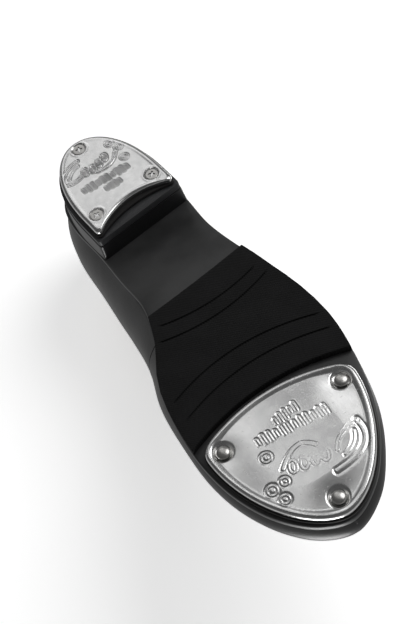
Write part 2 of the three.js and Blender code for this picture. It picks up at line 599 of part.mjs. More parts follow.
// stiffener round the back, on the rows and columns of both quarters
const COUNTER_ROWS = 7;
const counterFace = (depth) => (x, y) => {
  const n = Math.round(x * (2 * COUNTER_ROWS + 1));
  const side = n <= COUNTER_ROWS ? 1 : -1;
  const row = ROWS - Math.abs(COUNTER_ROWS + 0.5 - n) + 0.5;
  return quarterPoint(side, side > 0 ? ROWS - COUNTER_ROWS + n : row, MARGIN_COLS + 1 + Math.round(y * 4),
    depth);
};
const counter = plate(2 * COUNTER_ROWS + 1, 4, counterFace(stiffLow), counterFace(stiffHigh));

const STAY_HALF = 0.5;            // half width of the back stay, in stations
const stayFace = (out) => (x, y) => {
  const t = lerp(-STAY_HALF, STAY_HALF, x);
  const side = t < 0 ? -1 : 1;
  return skin(Math.abs(t), side * (1 - lerp(0.02, topShare(side, Math.abs(t)) * 0.965, y)), out);
};
const backStay = plate(4, 8, stayFace(FIT), stayFace(FIT + STAY_THICK));

// Rolled edge round the opening. It starts and ends at the back seam, where its two ends butt.
const BINDING_LIFT = BINDING_RADIUS + FIT + 0.5;
const EDGE_MIDDLE = (UPPER_THICK + FIT + LINING_THICK) / 2;
function bindingPoint(side, t) {
  const s = Math.min(THROAT, topShare(side, t));
  const depth = liningHigh(t, s) / 2;
  const top = skin(t, side * (1 - s), -depth);
  const up = top.clone().sub(skin(t, side * (1 - s + 0.02), -depth)).normalize();
  return top.addScaledVector(up, BINDING_LIFT + FIT * smoothstep(t, 5.2, 6.6));
}
const throat = skin(SEAM, 0, -EDGE_MIDDLE);
const back = throat.clone().sub(skin(SEAM + 0.1, 0, -EDGE_MIDDLE)).normalize();
throat.addScaledVector(back, BINDING_LIFT + FIT);
const stops = Array.from({ length: ROWS }, (_, n) => rowTop(1 - n / ROWS));
const bindingPath = new THREE.CatmullRomCurve3([...stops.map((t) => bindingPoint(1, t)), throat,
  ...stops.map((t) => bindingPoint(-1, t)).reverse()], false, 'centripetal');
const bindingSection = new THREE.Shape().absarc(0, 0, BINDING_RADIUS, 0, 2 * Math.PI);
const binding = welded(new THREE.ExtrudeGeometry(bindingSection,
  { steps: 84, curveSegments: 4, extrudePath: bindingPath }));

// ================= strap =================
// rises from the inner topline, crosses over the instep and lies on the outer quarter
const STRAP_FROM = 5.12;          // stations of its two long edges
const STRAP_TO = 5.72;
const STRAP_END = -0.82;          // q of its tip on the outer quarter
const STRAP_ROOT = 0.062;         // how far above the topline it starts, in q
const STRAP_SUNK = 1.9;           // its start lies this far inside the face of the upper
const STRAP_TIP = 0.07;           // share of its length that is rounded off
const strapOver = 3 * FIT + 2 * PATCH_THICK;
const strapFace = (out) => (x, y) => {
  const tip = clamp((1 - x) / STRAP_TIP, 0, 1);
  const wide = 0.15 + 0.85 * Math.sqrt(1 - (1 - tip) ** 2);
  const t = (STRAP_FROM + STRAP_TO) / 2 + (y - 0.5) * (STRAP_TO - STRAP_FROM) * wide;
  const q = lerp(1 - topShare(1, t) - STRAP_ROOT, STRAP_END, x);
  return skin(t, q, lerp(-STRAP_SUNK, strapOver, smoothstep(x, 0, 0.35)) + out);
};
const strapPiece = (low, high) => plate(28, 3, strapFace(low), strapFace(high));
const strapLining = strapPiece(0, LINING_THICK);
const strap = strapPiece(LINING_THICK + FIT, LINING_THICK + FIT + STRAP_THICK);
function patch(low) {
  const face = (out) => (x, y) => skin(lerp(STRAP_FROM + 0.09, STRAP_TO - 0.09, y), lerp(-0.71, -0.8, x),
    out);
  return plate(5, 3, face(low), face(low + PATCH_THICK));
}
const loopPatch = patch(FIT);
const hookPatch = patch(2 * FIT + PATCH_THICK);

// ================= assembly =================
const LEATHER = { color: 0x17181a, roughness: 0.5, metalness: 0 };
const SOLE_LEATHER = { color: 0x2b2d30, roughness: 0.5, metalness: 0 };
const RUBBER = { color: 0x222325, roughness: 0.8, metalness: 0 };
const LIFT_RUBBER = { color: 0x35373a, roughness: 0.6, metalness: 0 };
const BLACK_FIBRE = { color: 0x0e0f10, roughness: 0.75, metalness: 0 };
const STEEL = { color: 0xc4c6c8, roughness: 0.35, metalness: 1 };
const CAST_ALLOY = { color: 0xc9cacb, roughness: 0.45, metalness: 1 };
const TAN_LINING = { color: 0x9c8464, roughness: 0.85, metalness: 0 };
const INSOLE_BOARD = { color: 0x8a7458, roughness: 0.9, metalness: 0 };
const STIFFENER = { color: 0xb8b0a0, roughness: 0.8, metalness: 0 };
const SOCK_CLOTH = { color: 0x2c2b2a, roughness: 0.9, metalness: 0 };

function add(group, name, geometry, look) {
  const mesh = new THREE.Mesh(geometry, new THREE.MeshStandardMaterial(look));
  geometry.computeVertexNormals();
  mesh.name = name;
  group.add(mesh);
}

add(heel, 'heel_tap', heelTap, CAST_ALLOY);
add(heel, 'heel_sound_board', heelBoard, BLACK_FIBRE);
['rear', 'inner', 'outer'].forEach((place, n) => {
  add(heel, `heel_screw_${place}`, heelScrew(SCREWS[n]), STEEL);
});
add(heel, 'heel_top_lift', heelLift, LIFT_RUBBER);
add(heel, 'heel_block', heelBlock, BLACK_FIBRE);
['nail_rear', 'nail_inner', 'nail_outer', 'nail_front', 'fixing_screw'].forEach((kind, n) => {
  add(heel, `heel_${kind}`, nail(NAILS[n]), STEEL);
});

add(toe, 'toe_tap', toeTap, CAST_ALLOY);
add(toe, 'toe_sound_board', toeBoard, BLACK_FIBRE);
['inner', 'outer', 'front'].forEach((place, n) => {
  add(toe, `toe_rivet_${place}`, rivet(RIVETS[n]), STEEL);
  add(toe, `rivet_washer_${place}`, washer(RIVETS[n]), STEEL);
});

const shoe = new THREE.Group();
add(shoe, 'rubber_half_sole', rubber, RUBBER);
add(shoe, 'outsole', outsole, SOLE_LEATHER);
add(shoe, 'bottom_filler', filler, TAN_LINING);
add(shoe, 'shank', shank, STEEL);
add(shoe, 'insole_board', insole, INSOLE_BOARD);
add(shoe, 'sock_cushion', sock, SOCK_CLOTH);
add(shoe, 'vamp', vamp, LEATHER);
add(shoe, 'vamp_lining', vampLining, TAN_LINING);
add(shoe, 'toe_puff', toePuff, STIFFENER);
for (const [name, side] of [['inner', 1], ['outer', -1]]) {
  add(shoe, `${name}_quarter`, quarterPiece(side, upperLow, upperHigh), LEATHER);
  add(shoe, `${name}_quarter_lining`, quarterPiece(side, liningDepth, liningHigh), TAN_LINING);
}
add(shoe, 'heel_counter', counter, STIFFENER);
add(shoe, 'back_stay', backStay, LEATHER);
add(shoe, 'topline_binding', binding, LEATHER);
add(shoe, 'strap', strap, LEATHER);
add(shoe, 'strap_lining', strapLining, TAN_LINING);
add(shoe, 'loop_patch', loopPatch, BLACK_FIBRE);
add(shoe, 'hook_patch', hookPatch, BLACK_FIBRE);
shoe.add(heel, toe);

// the origin of the part is the middle of the heel tap's walking face
const middle = heelPoint(HEEL_MIDDLE, 0);
shoe.rotation.z = -Math.PI / 2;
shoe.position.set(-middle.y, middle.x, 0);
const group = new THREE.Group();
group.name = 'tap_shoe';
group.add(shoe);

export default group;
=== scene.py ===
import math

import bmesh
import bpy
import numpy as np
from mathutils import Matrix, Vector


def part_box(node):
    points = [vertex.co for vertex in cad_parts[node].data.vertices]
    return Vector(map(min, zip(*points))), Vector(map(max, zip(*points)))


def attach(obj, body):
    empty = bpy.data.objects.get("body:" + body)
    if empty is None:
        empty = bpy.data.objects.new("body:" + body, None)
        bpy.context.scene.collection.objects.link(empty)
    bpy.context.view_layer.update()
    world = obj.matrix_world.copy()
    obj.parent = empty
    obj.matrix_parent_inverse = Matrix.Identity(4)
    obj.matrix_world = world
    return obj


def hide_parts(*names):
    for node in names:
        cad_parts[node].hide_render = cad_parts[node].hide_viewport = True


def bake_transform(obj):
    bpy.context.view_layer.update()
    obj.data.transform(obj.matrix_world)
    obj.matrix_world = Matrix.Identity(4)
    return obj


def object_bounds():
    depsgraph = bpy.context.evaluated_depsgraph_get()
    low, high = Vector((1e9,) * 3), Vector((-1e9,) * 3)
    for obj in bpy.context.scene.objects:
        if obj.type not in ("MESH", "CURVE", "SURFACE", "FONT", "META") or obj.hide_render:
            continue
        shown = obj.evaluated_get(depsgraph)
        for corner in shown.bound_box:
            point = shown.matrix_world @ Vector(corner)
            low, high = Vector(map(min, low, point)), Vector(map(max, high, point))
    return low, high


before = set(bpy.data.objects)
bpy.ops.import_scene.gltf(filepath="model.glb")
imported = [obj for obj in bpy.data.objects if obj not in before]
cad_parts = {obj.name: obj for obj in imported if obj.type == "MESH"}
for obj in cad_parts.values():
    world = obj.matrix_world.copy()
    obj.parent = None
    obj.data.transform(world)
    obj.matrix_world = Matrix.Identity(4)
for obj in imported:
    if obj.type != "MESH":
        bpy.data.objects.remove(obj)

cad_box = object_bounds()

# ==================== camera ====================
# A long lens close under the ball of the standing shoe. It looks up at the sole from the toe end, and is
# rolled over so that the heel comes out at the upper left.
heel_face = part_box("heel_tap")[0].z
aim = Vector((0.0051, -0.1038, heel_face))
distance = 0.572
azimuth, elevation, roll = map(math.radians, (13.92, -54.38, 156.4))
back = Vector((math.sin(azimuth) * math.cos(elevation), -math.cos(azimuth) * math.cos(elevation),
               math.sin(elevation)))
level_right = Vector((math.cos(azimuth), math.sin(azimuth), 0))
level_up = back.cross(level_right)
right = level_right * math.cos(roll) + level_up * math.sin(roll)
lens = bpy.data.cameras.new("camera")
lens.lens, lens.sensor_width = 75, 36
lens.clip_start, lens.clip_end = 0.01, 20
camera = bpy.data.objects.new("camera", lens)
bpy.context.scene.collection.objects.link(camera)
camera.matrix_world = Matrix.Translation(aim + back * distance) @ Matrix(
    (right, back.cross(right), back)).transposed().to_4x4()
bpy.context.scene.camera = camera

# ==================== outsole ====================
# One flat cut of firm sole leather from the seat to the toe, dyed black. It drops through the waist to
# the ball, and its edge is trimmed, slightly rounded and inked. The walking side is burnished.
SOLE_THICK = 3.5
FIT = 0.3                     # gap between neighbours
TAP_THICK = 2.8
BOARD_THICK = 1.4
BREAST_HEIGHT, SEAT_SLOPE = 19.0, 0.085
BREAST_U, BALL_U, SPRING_U = 58.0, 122.0, 181.0
TOE_SPRING = math.radians(2.2)
SOLE_LOW = TAP_THICK + FIT + BOARD_THICK + FIT
# plan in mm: u forward from the back of the heel, v towards the inner side of the foot
SEAT_END, TOE_END = (-2, -2.6), (247.6, 8.2)
INNER_SIDE = [(1.5, 9.5), (12, 17.6), (28, 20.8), (55, 19.8), (80, 20.4), (104, 21), (126, 27.2),
              (147, 38.2), (170, 43), (193, 43.8), (213, 40.2), (230, 32.4), (242.5, 21)]
OUTER_SIDE = [(1.5, -15.5), (12, -25), (28, -30), (54, -31.4), (80, -30), (104, -31.4), (126, -35.2),
              (147, -39), (168, -39.9), (190, -36.3), (212, -29.2), (229, -19), (241.5, -6.5)]
STATIONS = len(INNER_SIDE) + 1
plan_line = np.array([SEAT_END, *INNER_SIDE, TOE_END, *OUTER_SIDE[::-1]], float)


def sole_line(share):
    """Plan points at shares of the way round the sole, from the back along the inner side."""
    n = len(plan_line)
    place = np.asarray(share, float) % 1 * n
    i = np.floor(place).astype(int)
    k = (place - i)[..., None]
    p = [plan_line[(i + step) % n] for step in (-1, 0, 1, 2)]
    g = [np.sqrt(np.linalg.norm(p[m + 1] - p[m], axis=-1))[..., None] for m in range(3)]
    m1 = (p[1] - p[0]) / g[0] - (p[2] - p[0]) / (g[0] + g[1]) + (p[2] - p[1]) / g[1]
    m2 = (p[2] - p[1]) / g[1] - (p[3] - p[1]) / (g[1] + g[2]) + (p[3] - p[2]) / g[2]
    m1, m2 = m1 * g[1], m2 * g[1]
    return (p[1] + m1 * k + (3 * (p[2] - p[1]) - 2 * m1 - m2) * k ** 2
            + (2 * (p[1] - p[2]) + m1 + m2) * k ** 3)


def edge(side, t, inset):
    """Plan point of the sole edge at station t on one side (+1 inner, -1 outer), moved inwards."""
    share = np.where(np.asarray(side) > 0, t, 2 * STATIONS - t) / (2 * STATIONS)
    d = sole_line(share + 0.002) - sole_line(share - 0.002)
    d = d / np.linalg.norm(d, axis=-1, keepdims=True)
    turned = np.stack([d[..., 1], -d[..., 0]], -1)
    return sole_line(share) + turned * np.asarray(inset, float)[..., None]


def sole_under(u):
    """Height of the walking side of the outsole."""
    drop = BREAST_HEIGHT - SOLE_LOW
    slope = -SEAT_SLOPE * (BALL_U - BREAST_U) / drop
    x = np.clip((u - BREAST_U) / (BALL_U - BREAST_U), 0, 1)
    waist = SOLE_LOW + drop * (2 * x ** 3 - 3 * x ** 2 + 1 + slope * (x ** 3 - 2 * x ** 2 + x))
    toe = np.maximum(0, u - SPRING_U) * math.tan(TOE_SPRING)
    return waist + np.maximum(0, BREAST_U - u) * SEAT_SLOPE + toe


def smooth(x, a, b):
    k = np.clip((x - a) / (b - a), 0, 1)
    return k * k * (3 - 2 * k)


around = sole_line(np.linspace(0, 1, 2000))
sole_low, sole_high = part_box("outsole")
U_ZERO = sole_high.y * 1000 + around[:, 0].min()
V_ZERO = sole_high.x * 1000 - around[:, 1].max()


def to_frame(p):
    """Shoe sizes in mm (u, v, z) to the CAD frame in metres."""
    p = np.asarray(p, float)
    return np.stack([p[..., 1] + V_ZERO, U_ZERO - p[..., 0], p[..., 2]], -1) / 1000


def grid_faces(rows, cols, ring=False):
    """Quads of a grid of points. With ring, the last column meets the first."""
    i, j = np.meshgrid(np.arange(rows - 1), np.arange(cols if ring else cols - 1), indexing="ij")
    k = (j + 1) % cols
    return np.stack([i * cols + j, i * cols + k, (i + 1) * cols + k, (i + 1) * cols + j],
                    -1).reshape(-1, 4).tolist()


def swept(loops, ends=True):
    """Points and faces of a body through rows of closed loops, with strips of quads on its two ends."""
    rows, n = loops.shape[:2]
    faces = grid_faces(rows, n, ring=True)
    for r in (0, rows - 1) if ends else ():
        faces += [[r * n + j, r * n + j + 1, r * n + n - 2 - j, r * n + n - 1 - j]
                  for j in range(n // 2 - 1)]
    return loops.reshape(-1, 3), faces


def sheet(face, far):
    """Points and faces of a body between two grids of the same size."""
    return swept(np.concatenate([face, far[:, ::-1]], 1))


def make_piece(name, points, faces, finish, slot, nodes=(), body="shoe", crease=38):
    mesh = bpy.data.meshes.new(name)
    mesh.from_pydata(to_frame(points).tolist(), [], faces)
    work = bmesh.new()
    work.from_mesh(mesh)
    bmesh.ops.remove_doubles(work, verts=work.verts, dist=2e-6)
    bmesh.ops.recalc_face_normals(work, faces=work.faces)
    work.to_mesh(mesh)
    work.free()
    mesh.shade_smooth()
    mesh.set_sharp_from_angle(angle=math.radians(crease))
    mesh.materials.append(finish)
    piece = bpy.data.objects.new(name, mesh)
    bpy.context.scene.collection.objects.link(piece)
    if body:
        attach(piece, body)
    if nodes:
        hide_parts(*nodes)
    return piece


class Tone:
    """A socket of a finish. Sums, differences and products of tones add Math nodes."""

    def __init__(self, tree, socket):
        self.tree, self.socket = tree, socket

    def node(self, kind, settings, sockets, out=0):
        made = self.tree.nodes.new("ShaderNode" + kind)
        for key, value in settings.items():
            setattr(made, key, value)
        for key, value in sockets.items():
            if isinstance(value, Tone):
                self.tree.links.new(value.socket, made.inputs[key])
            else:
                made.inputs[key].default_value = value
        return Tone(self.tree, made.outputs[out])

    def maths(self, operation, *others):
        return self.node("Math", {"operation": operation}, dict(enumerate((self, *others))))

    def __add__(self, other):
        return self.maths("ADD", other)

    def __mul__(self, other):
        return self.maths("MULTIPLY", other)

    def __rsub__(self, other):
        return (self * -1) + other

    __radd__, __rmul__ = __add__, __mul__

    def between(self, low, high):
        """0 below low, 1 above high, eased between them."""
        return self.node("MapRange", {"interpolation_type": "SMOOTHSTEP"},
                         {"Value": self, "From Min": low, "From Max": high})

    def noise(self, size, detail=3, rough=0.5):
        """Cloudy noise, from 0 to 1, with lumps of a size in mm."""
        return self.node("TexNoise", {}, {"Vector": self, "Scale": 1000 / size, "Detail": detail,
                                          "Roughness": rough})

    def cells(self, size, feature="F1", random=1.0):
        """Cells of a size in mm: distance to the middle of the nearest one, or to its edge."""
        return self.node("TexVoronoi", {"feature": feature},
                         {"Vector": self, "Scale": 1000 / size, "Randomness": random})

    def stretched(self, scale, turn=(0, 0, 0)):
        return self.node("Mapping", {}, {"Vector": self, "Scale": scale, "Rotation": turn})

    def mix(self, a, b):
        """Colour a where this is 0, b where it is 1."""
        a, b = (c if isinstance(c, Tone) else (*c, 1) for c in (a, b))
        return self.node("Mix", {"data_type": "RGBA"}, {0: self, 6: a, 7: b}, out=2)

    def bump(self, depth):
        """Normal for a relief as deep as depth, in mm."""
        return self.node("Bump", {}, {"Height": self, "Distance": depth / 1000})

    def surface(self, **sockets):
        """Ends the finish: a Principled surface with these sockets."""
        named = {key.replace("_", " "): (*value, 1) if isinstance(value, tuple) else value
                 for key, value in sockets.items()}
        shader = self.node("BsdfPrincipled", {}, named)
        output = next(n for n in self.tree.nodes if n.type == "OUTPUT_MATERIAL")
        self.tree.links.new(shader.socket, output.inputs["Surface"])


def finish(name):
    """A new material and its tone of places on the object."""
    material = bpy.data.materials.new(name)
    material.use_nodes = True
    tree = material.node_tree
    tree.nodes.remove(next(n for n in tree.nodes if n.type == "BSDF_PRINCIPLED"))
    coordinates = tree.nodes.new("ShaderNodeTexCoord")
    return material, Tone(tree, coordinates.outputs["Object"])


sole_finish, at = finish("burnished_sole")
cloud, fine = at.noise(22, 4), at.noise(0.5, 2)
rubbed = at.stretched((1, 0.14, 1)).noise(1.6, 3)
sole_finish_height = rubbed * 0.6 + fine * 0.4
at.surface(Base_Color=cloud.between(0.35, 0.7).mix((0.034, 0.0345, 0.035), (0.06, 0.0605, 0.061)),
           Roughness=0.3 + 0.14 * cloud + 0.08 * rubbed, Normal=sole_finish_height.bump(0.02),
           Specular_IOR_Level=0.55)

stations = STATIONS * (0.5 - 0.5 * np.cos(np.linspace(0, math.pi, 190)))
EDGE_PROFILE = [(0.95, 0.0), (0.5, 0.08), (0.18, 0.32), (0.02, 0.8), (0, 1.7), (0.02, 2.7),
                (0.2, 3.2), (0.6, 3.45), (1.2, SOLE_THICK)]
WAIST_CROWN = 0.7             # bulge of the waist, which begins over WAIST_FROM and ends over WAIST_TO
WAIST_FROM, WAIST_TO = (60, 75), (98, 112)
across = np.linspace(0, 1, 17)


def sole_loop(t):
    """Section of the outsole across station t, edge to edge."""
    outer = [np.append(edge(-1, t, d), h) for d, h in EDGE_PROFILE]
    inner = [np.append(edge(1, t, d), h) for d, h in EDGE_PROFILE]
    crown = WAIST_CROWN * float(smooth(outer[0][0], *WAIST_FROM) * (1 - smooth(outer[0][0], *WAIST_TO)))
    low = [outer[0] * (1 - y) + inner[0] * y - [0, 0, crown * (1 - (2 * y - 1) ** 4)] for y in across]
    top = [inner[-1] * (1 - y) + outer[-1] * y for y in across]
    loop = np.array(low[:-1] + inner[:-1] + top[:-1] + outer[:0:-1])
    loop[:, 2] += sole_under(loop[:, 0])
    return loop


points, faces = swept(np.array([sole_loop(t) for t in stations]), ends=False)
make_piece("outsole_leather", points, faces, sole_finish, "sole_leather", ["outsole"], crease=60)

# ==================== rubber half sole ====================
# Thin black rubber cemented under the ball, cut flush with the sole edge. Its face is moulded with
# very fine crossed ribs and two pairs of flex grooves.
RUBBER_THICK = 3.3
RUBBER_INSET = 0.4
GROOVES = [[(21, 122.4), (-4, 127.2), (-28, 125)], [(25.5, 129.6), (-2, 134.8), (-31, 131)],
           [(37, 159.5), (5, 154.6), (-35, 164.2)], [(37, 170), (4, 164.8), (-35, 173.4)]]
GROOVE_HALF, GROOVE_DEEP = 0.55, 0.9
REAR_CURVE, FRONT_CURVE, FRONT_MID = (-0.0008, 0.06, 112.6), (0.0048, -0.045, 177.6), 3
RUBBER_ROUND = 0.5
RIB_PITCH = 0.9
WAVES_PER_UNIT = 20 / (2 * math.pi)     # a wave texture's bands in one unit, at scale 1

rubber_finish, at = finish("ribbed_rubber")
ribs = [at.node(
    "TexWave", {"wave_type": "BANDS", "bands_direction": "X", "wave_profile": "SIN"},
    {"Vector": at.stretched((1, 1, 1), (0, 0, math.radians(turn))), "Distortion": 0.0,
     "Scale": 1000 / RIB_PITCH / WAVES_PER_UNIT}) for turn in (38, -52)]
dust, speck = at.noise(14, 4), at.noise(0.25, 2)
knurl = ribs[0] * 0.75 + ribs[1] * 0.25
at.surface(Base_Color=dust.between(0.3, 0.75).mix((0.0085, 0.0085, 0.0088), (0.0145, 0.0145, 0.015)),
           Roughness=0.74 + 0.14 * dust, Normal=(knurl * 0.85 + speck * 0.15).bump(0.16),
           Specular_IOR_Level=0.3)

table_t = np.linspace(4, 12.4, 400)
side_v = {s: edge(s, table_t, np.full(400, RUBBER_INSET)) for s in (-1, 1)}
groove_curve = [np.polyfit(*zip(*g), 2) for g in GROOVES]


def rubber_line(n, v):
    """Crosswise lines of the rubber: its rear edge, the four grooves and its front edge."""
    if n == 0:
        return np.polyval(REAR_CURVE, v)
    if n == 5:
        return np.polyval(FRONT_CURVE, v - FRONT_MID)
    return np.polyval(groove_curve[n - 1], v)


steps = np.array([-1, -0.8, -0.55, -0.3, -0.12, 0, 0.12, 0.3, 0.55, 0.8, 1]) * GROOVE_HALF
rows = [(0, d) for d in (0, 0.12, 0.3, 0.6, 1.2)]
for n in range(1, 5):
    rows += [(n - 1 + f, 0) for f in (0.25, 0.5, 0.75)] + [(n, d) for d in steps]
rows += [(4.25, 0), (4.5, 0), (4.75, 0)] + [(5, -d) for d in (1.2, 0.6, 0.3, 0.12, 0)]
margin = np.array([0, 0.12, 0.3, 0.6, 1.4])
cols = np.concatenate([margin, np.linspace(3, 72, 40), 75 - margin[::-1]]) / 75
v_grid, u_grid = np.tile(cols, (len(rows), 1)) * 75 - 36, np.zeros((len(rows), len(cols)))
for _ in range(10):
    for r, (n, d) in enumerate(rows):
        lower, f = int(n), n - int(n)
        u_grid[r] = rubber_line(lower, v_grid[r]) * (1 - f) + d
        if f:
            u_grid[r] += rubber_line(lower + 1, v_grid[r]) * f
    left = np.interp(u_grid, side_v[-1][:, 0], side_v[-1][:, 1])
    right_side = np.interp(u_grid, side_v[1][:, 0], side_v[1][:, 1])
    v_grid = left + (right_side - left) * cols
from_edge = np.minimum(np.minimum(v_grid - left, right_side - v_grid),
                       np.minimum(u_grid - rubber_line(0, v_grid), rubber_line(5, v_grid) - u_grid))
shy = RUBBER_ROUND - np.clip(from_edge, 0, RUBBER_ROUND)
rise = RUBBER_ROUND - np.sqrt(RUBBER_ROUND ** 2 - shy ** 2)
for n, g in enumerate(GROOVES, 1):
    off = np.abs(u_grid - rubber_line(n, v_grid))
    reach = smooth(v_grid, g[2][0] - 1, g[2][0] + 1) * (1 - smooth(v_grid, g[0][0] - 1, g[0][0] + 1))
    rise += GROOVE_DEEP * np.clip(1 - (off / GROOVE_HALF) ** 2, 0, 1) ** 0.5 * reach
top_z = sole_under(u_grid) - FIT * 0.3
points, faces = sheet(np.stack([u_grid, v_grid, sole_under(u_grid) - FIT - RUBBER_THICK + rise], -1),
                      np.stack([u_grid, v_grid, top_z], -1))
make_piece("rubber_sole", points, faces, rubber_finish, "sole_rubber", ["rubber_half_sole"])

# ==================== heel ====================
# A low block heel: a moulded block with a smooth black breast that runs out into the waist, a firm
# grey-black top lift, and a thin black fibre sounding board between the lift and the tap.
HEEL_TURN = math.radians(3.5)
LIFT_THICK = 4.0
BOARD_LOW = TAP_THICK + FIT
LIFT_LOW = BOARD_LOW + BOARD_THICK + FIT
BLOCK_LOW = LIFT_LOW + LIFT_THICK + FIT
HEEL_OUT = -2.7
OUTLINE_STEPS = 420


def heel_at(h, w):
    """Heel frame (h forward from the back, w inwards) to the plan of the shoe."""
    return np.stack([h * math.cos(HEEL_TURN) + w * math.sin(HEEL_TURN),
                     HEEL_OUT - h * math.sin(HEEL_TURN) + w * math.cos(HEEL_TURN)], -1)


def even_ring(base, line, soften):
    """Points of line taken where base, its uninset form, has even steps, with corners softened."""
    closed = np.vstack([base, base[:1]])
    run = np.concatenate([[0], np.cumsum(np.linalg.norm(np.diff(closed, axis=0), axis=1))])
    at_run = np.linspace(0, run[-1], OUTLINE_STEPS, endpoint=False)
    looped = np.vstack([line, line[:1]])
    ring = np.stack([np.interp(at_run, run, looped[:, c]) for c in (0, 1)], -1)
    for _ in range(soften):
        ring = (np.roll(ring, 1, 0) + 2 * ring + np.roll(ring, -1, 0)) / 4
    return ring


def heel_line(back_end, half, front, sag, corner):
    deep, x = 44, np.linspace(0, 1, 40) ** 1.5
    side = [*zip(back_end + deep * x, half * np.sqrt(1 - (1 - x) ** 2.3))]
    turn = np.linspace(0, math.pi / 2, 9)
    side += [*zip(front - corner + corner * np.sin(turn), half - corner + corner * np.cos(turn))]
    w = (half - corner) * np.linspace(1, -1, 41)[1:-1]
    bow = [*zip(front - sag * (1 - (w / (half - corner)) ** 2), w)]
    other = [(h, -w) for h, w in side[:0:-1]]
    return np.array(side + bow + other)


def heel_ring(inset=0.0, back_end=1.0, half=22.8, front=57.0, sag=6.6, corner=2.2, soften=3):
    """Outline of a heel layer, moved inwards by inset, in the heel frame."""
    base = heel_line(back_end, half, front, sag, corner)
    moved = heel_line(back_end + inset, half - inset, front - inset, sag, corner)
    return even_ring(base, moved, soften)


def stacked(rings, flat_start=True, flat_end=True):
    """Points and faces of a body through rings of points, closed with one flat face at each end."""
    loops = np.array(rings)
    points, faces = swept(loops, ends=False)
    n, last_ring = loops.shape[1], (len(loops) - 1) * loops.shape[1]
    if flat_start:
        faces.append(list(range(n)))
    if flat_end:
        faces.append([last_ring + i for i in range(n)])
    return points, faces


def raised(ring, z):
    return np.column_stack([ring, np.broadcast_to(z, len(ring))])


def layer_body(ring_of, low, high, soft):
    """A flat layer between two heights, its outline from ring_of(inset), its edges rounded."""
    bend = np.linspace(0, math.pi / 2, 4)
    profile = [(soft * (1 - math.sin(b)), low + soft * (1 - math.cos(b))) for b in bend]
    profile += [(soft * (1 - math.cos(b)), high - soft * (1 - math.sin(b))) for b in bend]
    return stacked([raised(ring_of(d), z) for d, z in profile])


board_finish, at = finish("black_fibre_board")
fibres = at.stretched((1, 1, 6)).noise(0.9, 4)
at.surface(Base_Color=fibres.mix((0.006, 0.006, 0.006), (0.02, 0.019, 0.018)),
           Roughness=0.7 + 0.2 * fibres, Normal=fibres.bump(0.05))
BOARD_SHAPE = {"back_end": 0.9, "half": 23.1, "front": 57.4, "sag": 4.2}
points, faces = layer_body(lambda d: heel_at(*heel_ring(d, **BOARD_SHAPE).T), BOARD_LOW,
                           BOARD_LOW + BOARD_THICK, 0.25)
make_piece("heel_board", points, faces, board_finish, "fibre_board", ["heel_sound_board"])

lift_finish, at = finish("top_lift_rubber")
cloud, fine = at.noise(9, 4), at.noise(0.3, 2)
at.surface(Base_Color=cloud.mix((0.032, 0.033, 0.035), (0.05, 0.051, 0.054)),
           Roughness=0.42 + 0.16 * cloud, Normal=fine.bump(0.02))


def lift_ring(z, inset):
    """Plan outline of the lift or the block at height z. It flares towards the sole."""
    flare = min(1.3, max(0, (z - LIFT_LOW) / (BREAST_HEIGHT - LIFT_LOW)))
    return heel_at(*heel_ring(inset, back_end=-1.8 * flare, half=24.4 + 0.9 * flare, front=58.4,
                              sag=0.0, corner=1.4).T)


points, faces = layer_body(lambda d: lift_ring(LIFT_LOW, d), LIFT_LOW, LIFT_LOW + LIFT_THICK, 0.35)
make_piece("top_lift", points, faces, lift_finish, "top_lift", ["heel_top_lift"])

block_finish, at = finish("inked_heel_block")
cloud, fine = at.noise(16, 4), at.noise(0.6, 3)
at.surface(Base_Color=cloud.mix((0.007, 0.007, 0.0075), (0.014, 0.014, 0.015)),
           Roughness=0.3 + 0.16 * cloud, Normal=fine.bump(0.02), Coat_Weight=0.15)
block_rings = [raised(lift_ring(BLOCK_LOW, d), BLOCK_LOW + h)
               for d, h in ((0.35, 0), (0.08, 0.1), (0, 0.35))]
for z in np.linspace(BLOCK_LOW + 0.8, BREAST_HEIGHT, 12):
    ring = lift_ring(z, 0)
    share = (z - BLOCK_LOW) / (BREAST_HEIGHT - BLOCK_LOW)
    block_rings.append(raised(ring, BLOCK_LOW + share * (sole_under(ring[:, 0]) - 0.05 - BLOCK_LOW)))
points, faces = stacked(block_rings)
make_piece("heel_block_body", points, faces, block_finish, "heel_stack", ["heel_block"], crease=50)

# ==================== heel tap and its screws ====================
# A cast alloy plate, rim bevelled and polished, face brushed lengthways, with a cast-in ornament of a
# waved band, rings and two rows of short bars. Three countersunk cross-head steel screws hold it.
SCREW_HEAD, SCREW_ROOM = 3.3, 0.32      # radius of a head, and the room round it in its hole
HEEL_SCREWS = [(6.5, 0), (47.5, 16.6), (47.5, -16.6)]

tap_finish, at = finish("cast_alloy")
brushed = at.stretched((1, 0.02, 1)).noise(0.35, 3, 0.6)
worn, tarnish = at.noise(13, 4), at.noise(3.5, 4)
nicks = at.stretched((0.25, 1, 1), (0, 0, 0.7)).noise(0.5, 2).between(0.66, 0.74)
patina = (worn * 0.6 + tarnish * 0.4).between(0.3, 0.72)
at.surface(Base_Color=patina.mix((0.76, 0.76, 0.76), (0.9, 0.9, 0.895)),
           Metallic=1.0, Roughness=0.12 + 0.11 * worn + 0.07 * brushed + 0.12 * nicks,
           Normal=(brushed * 0.5 + tarnish * 0.35 + nicks * 0.15).bump(0.012))


def arc_strokes(start, middle, end):
    """A curved line through three places, as short straight strokes."""
    start, middle, end = (np.array(p, float) for p in (start, middle, end))
    k = np.linspace(0, 1, 15)[:, None]
    pull = 2 * middle - (start + end) / 2
    line = (1 - k) ** 2 * start + 2 * k * (1 - k) * pull + k ** 2 * end
    return [*zip(line[:-1], line[1:])]


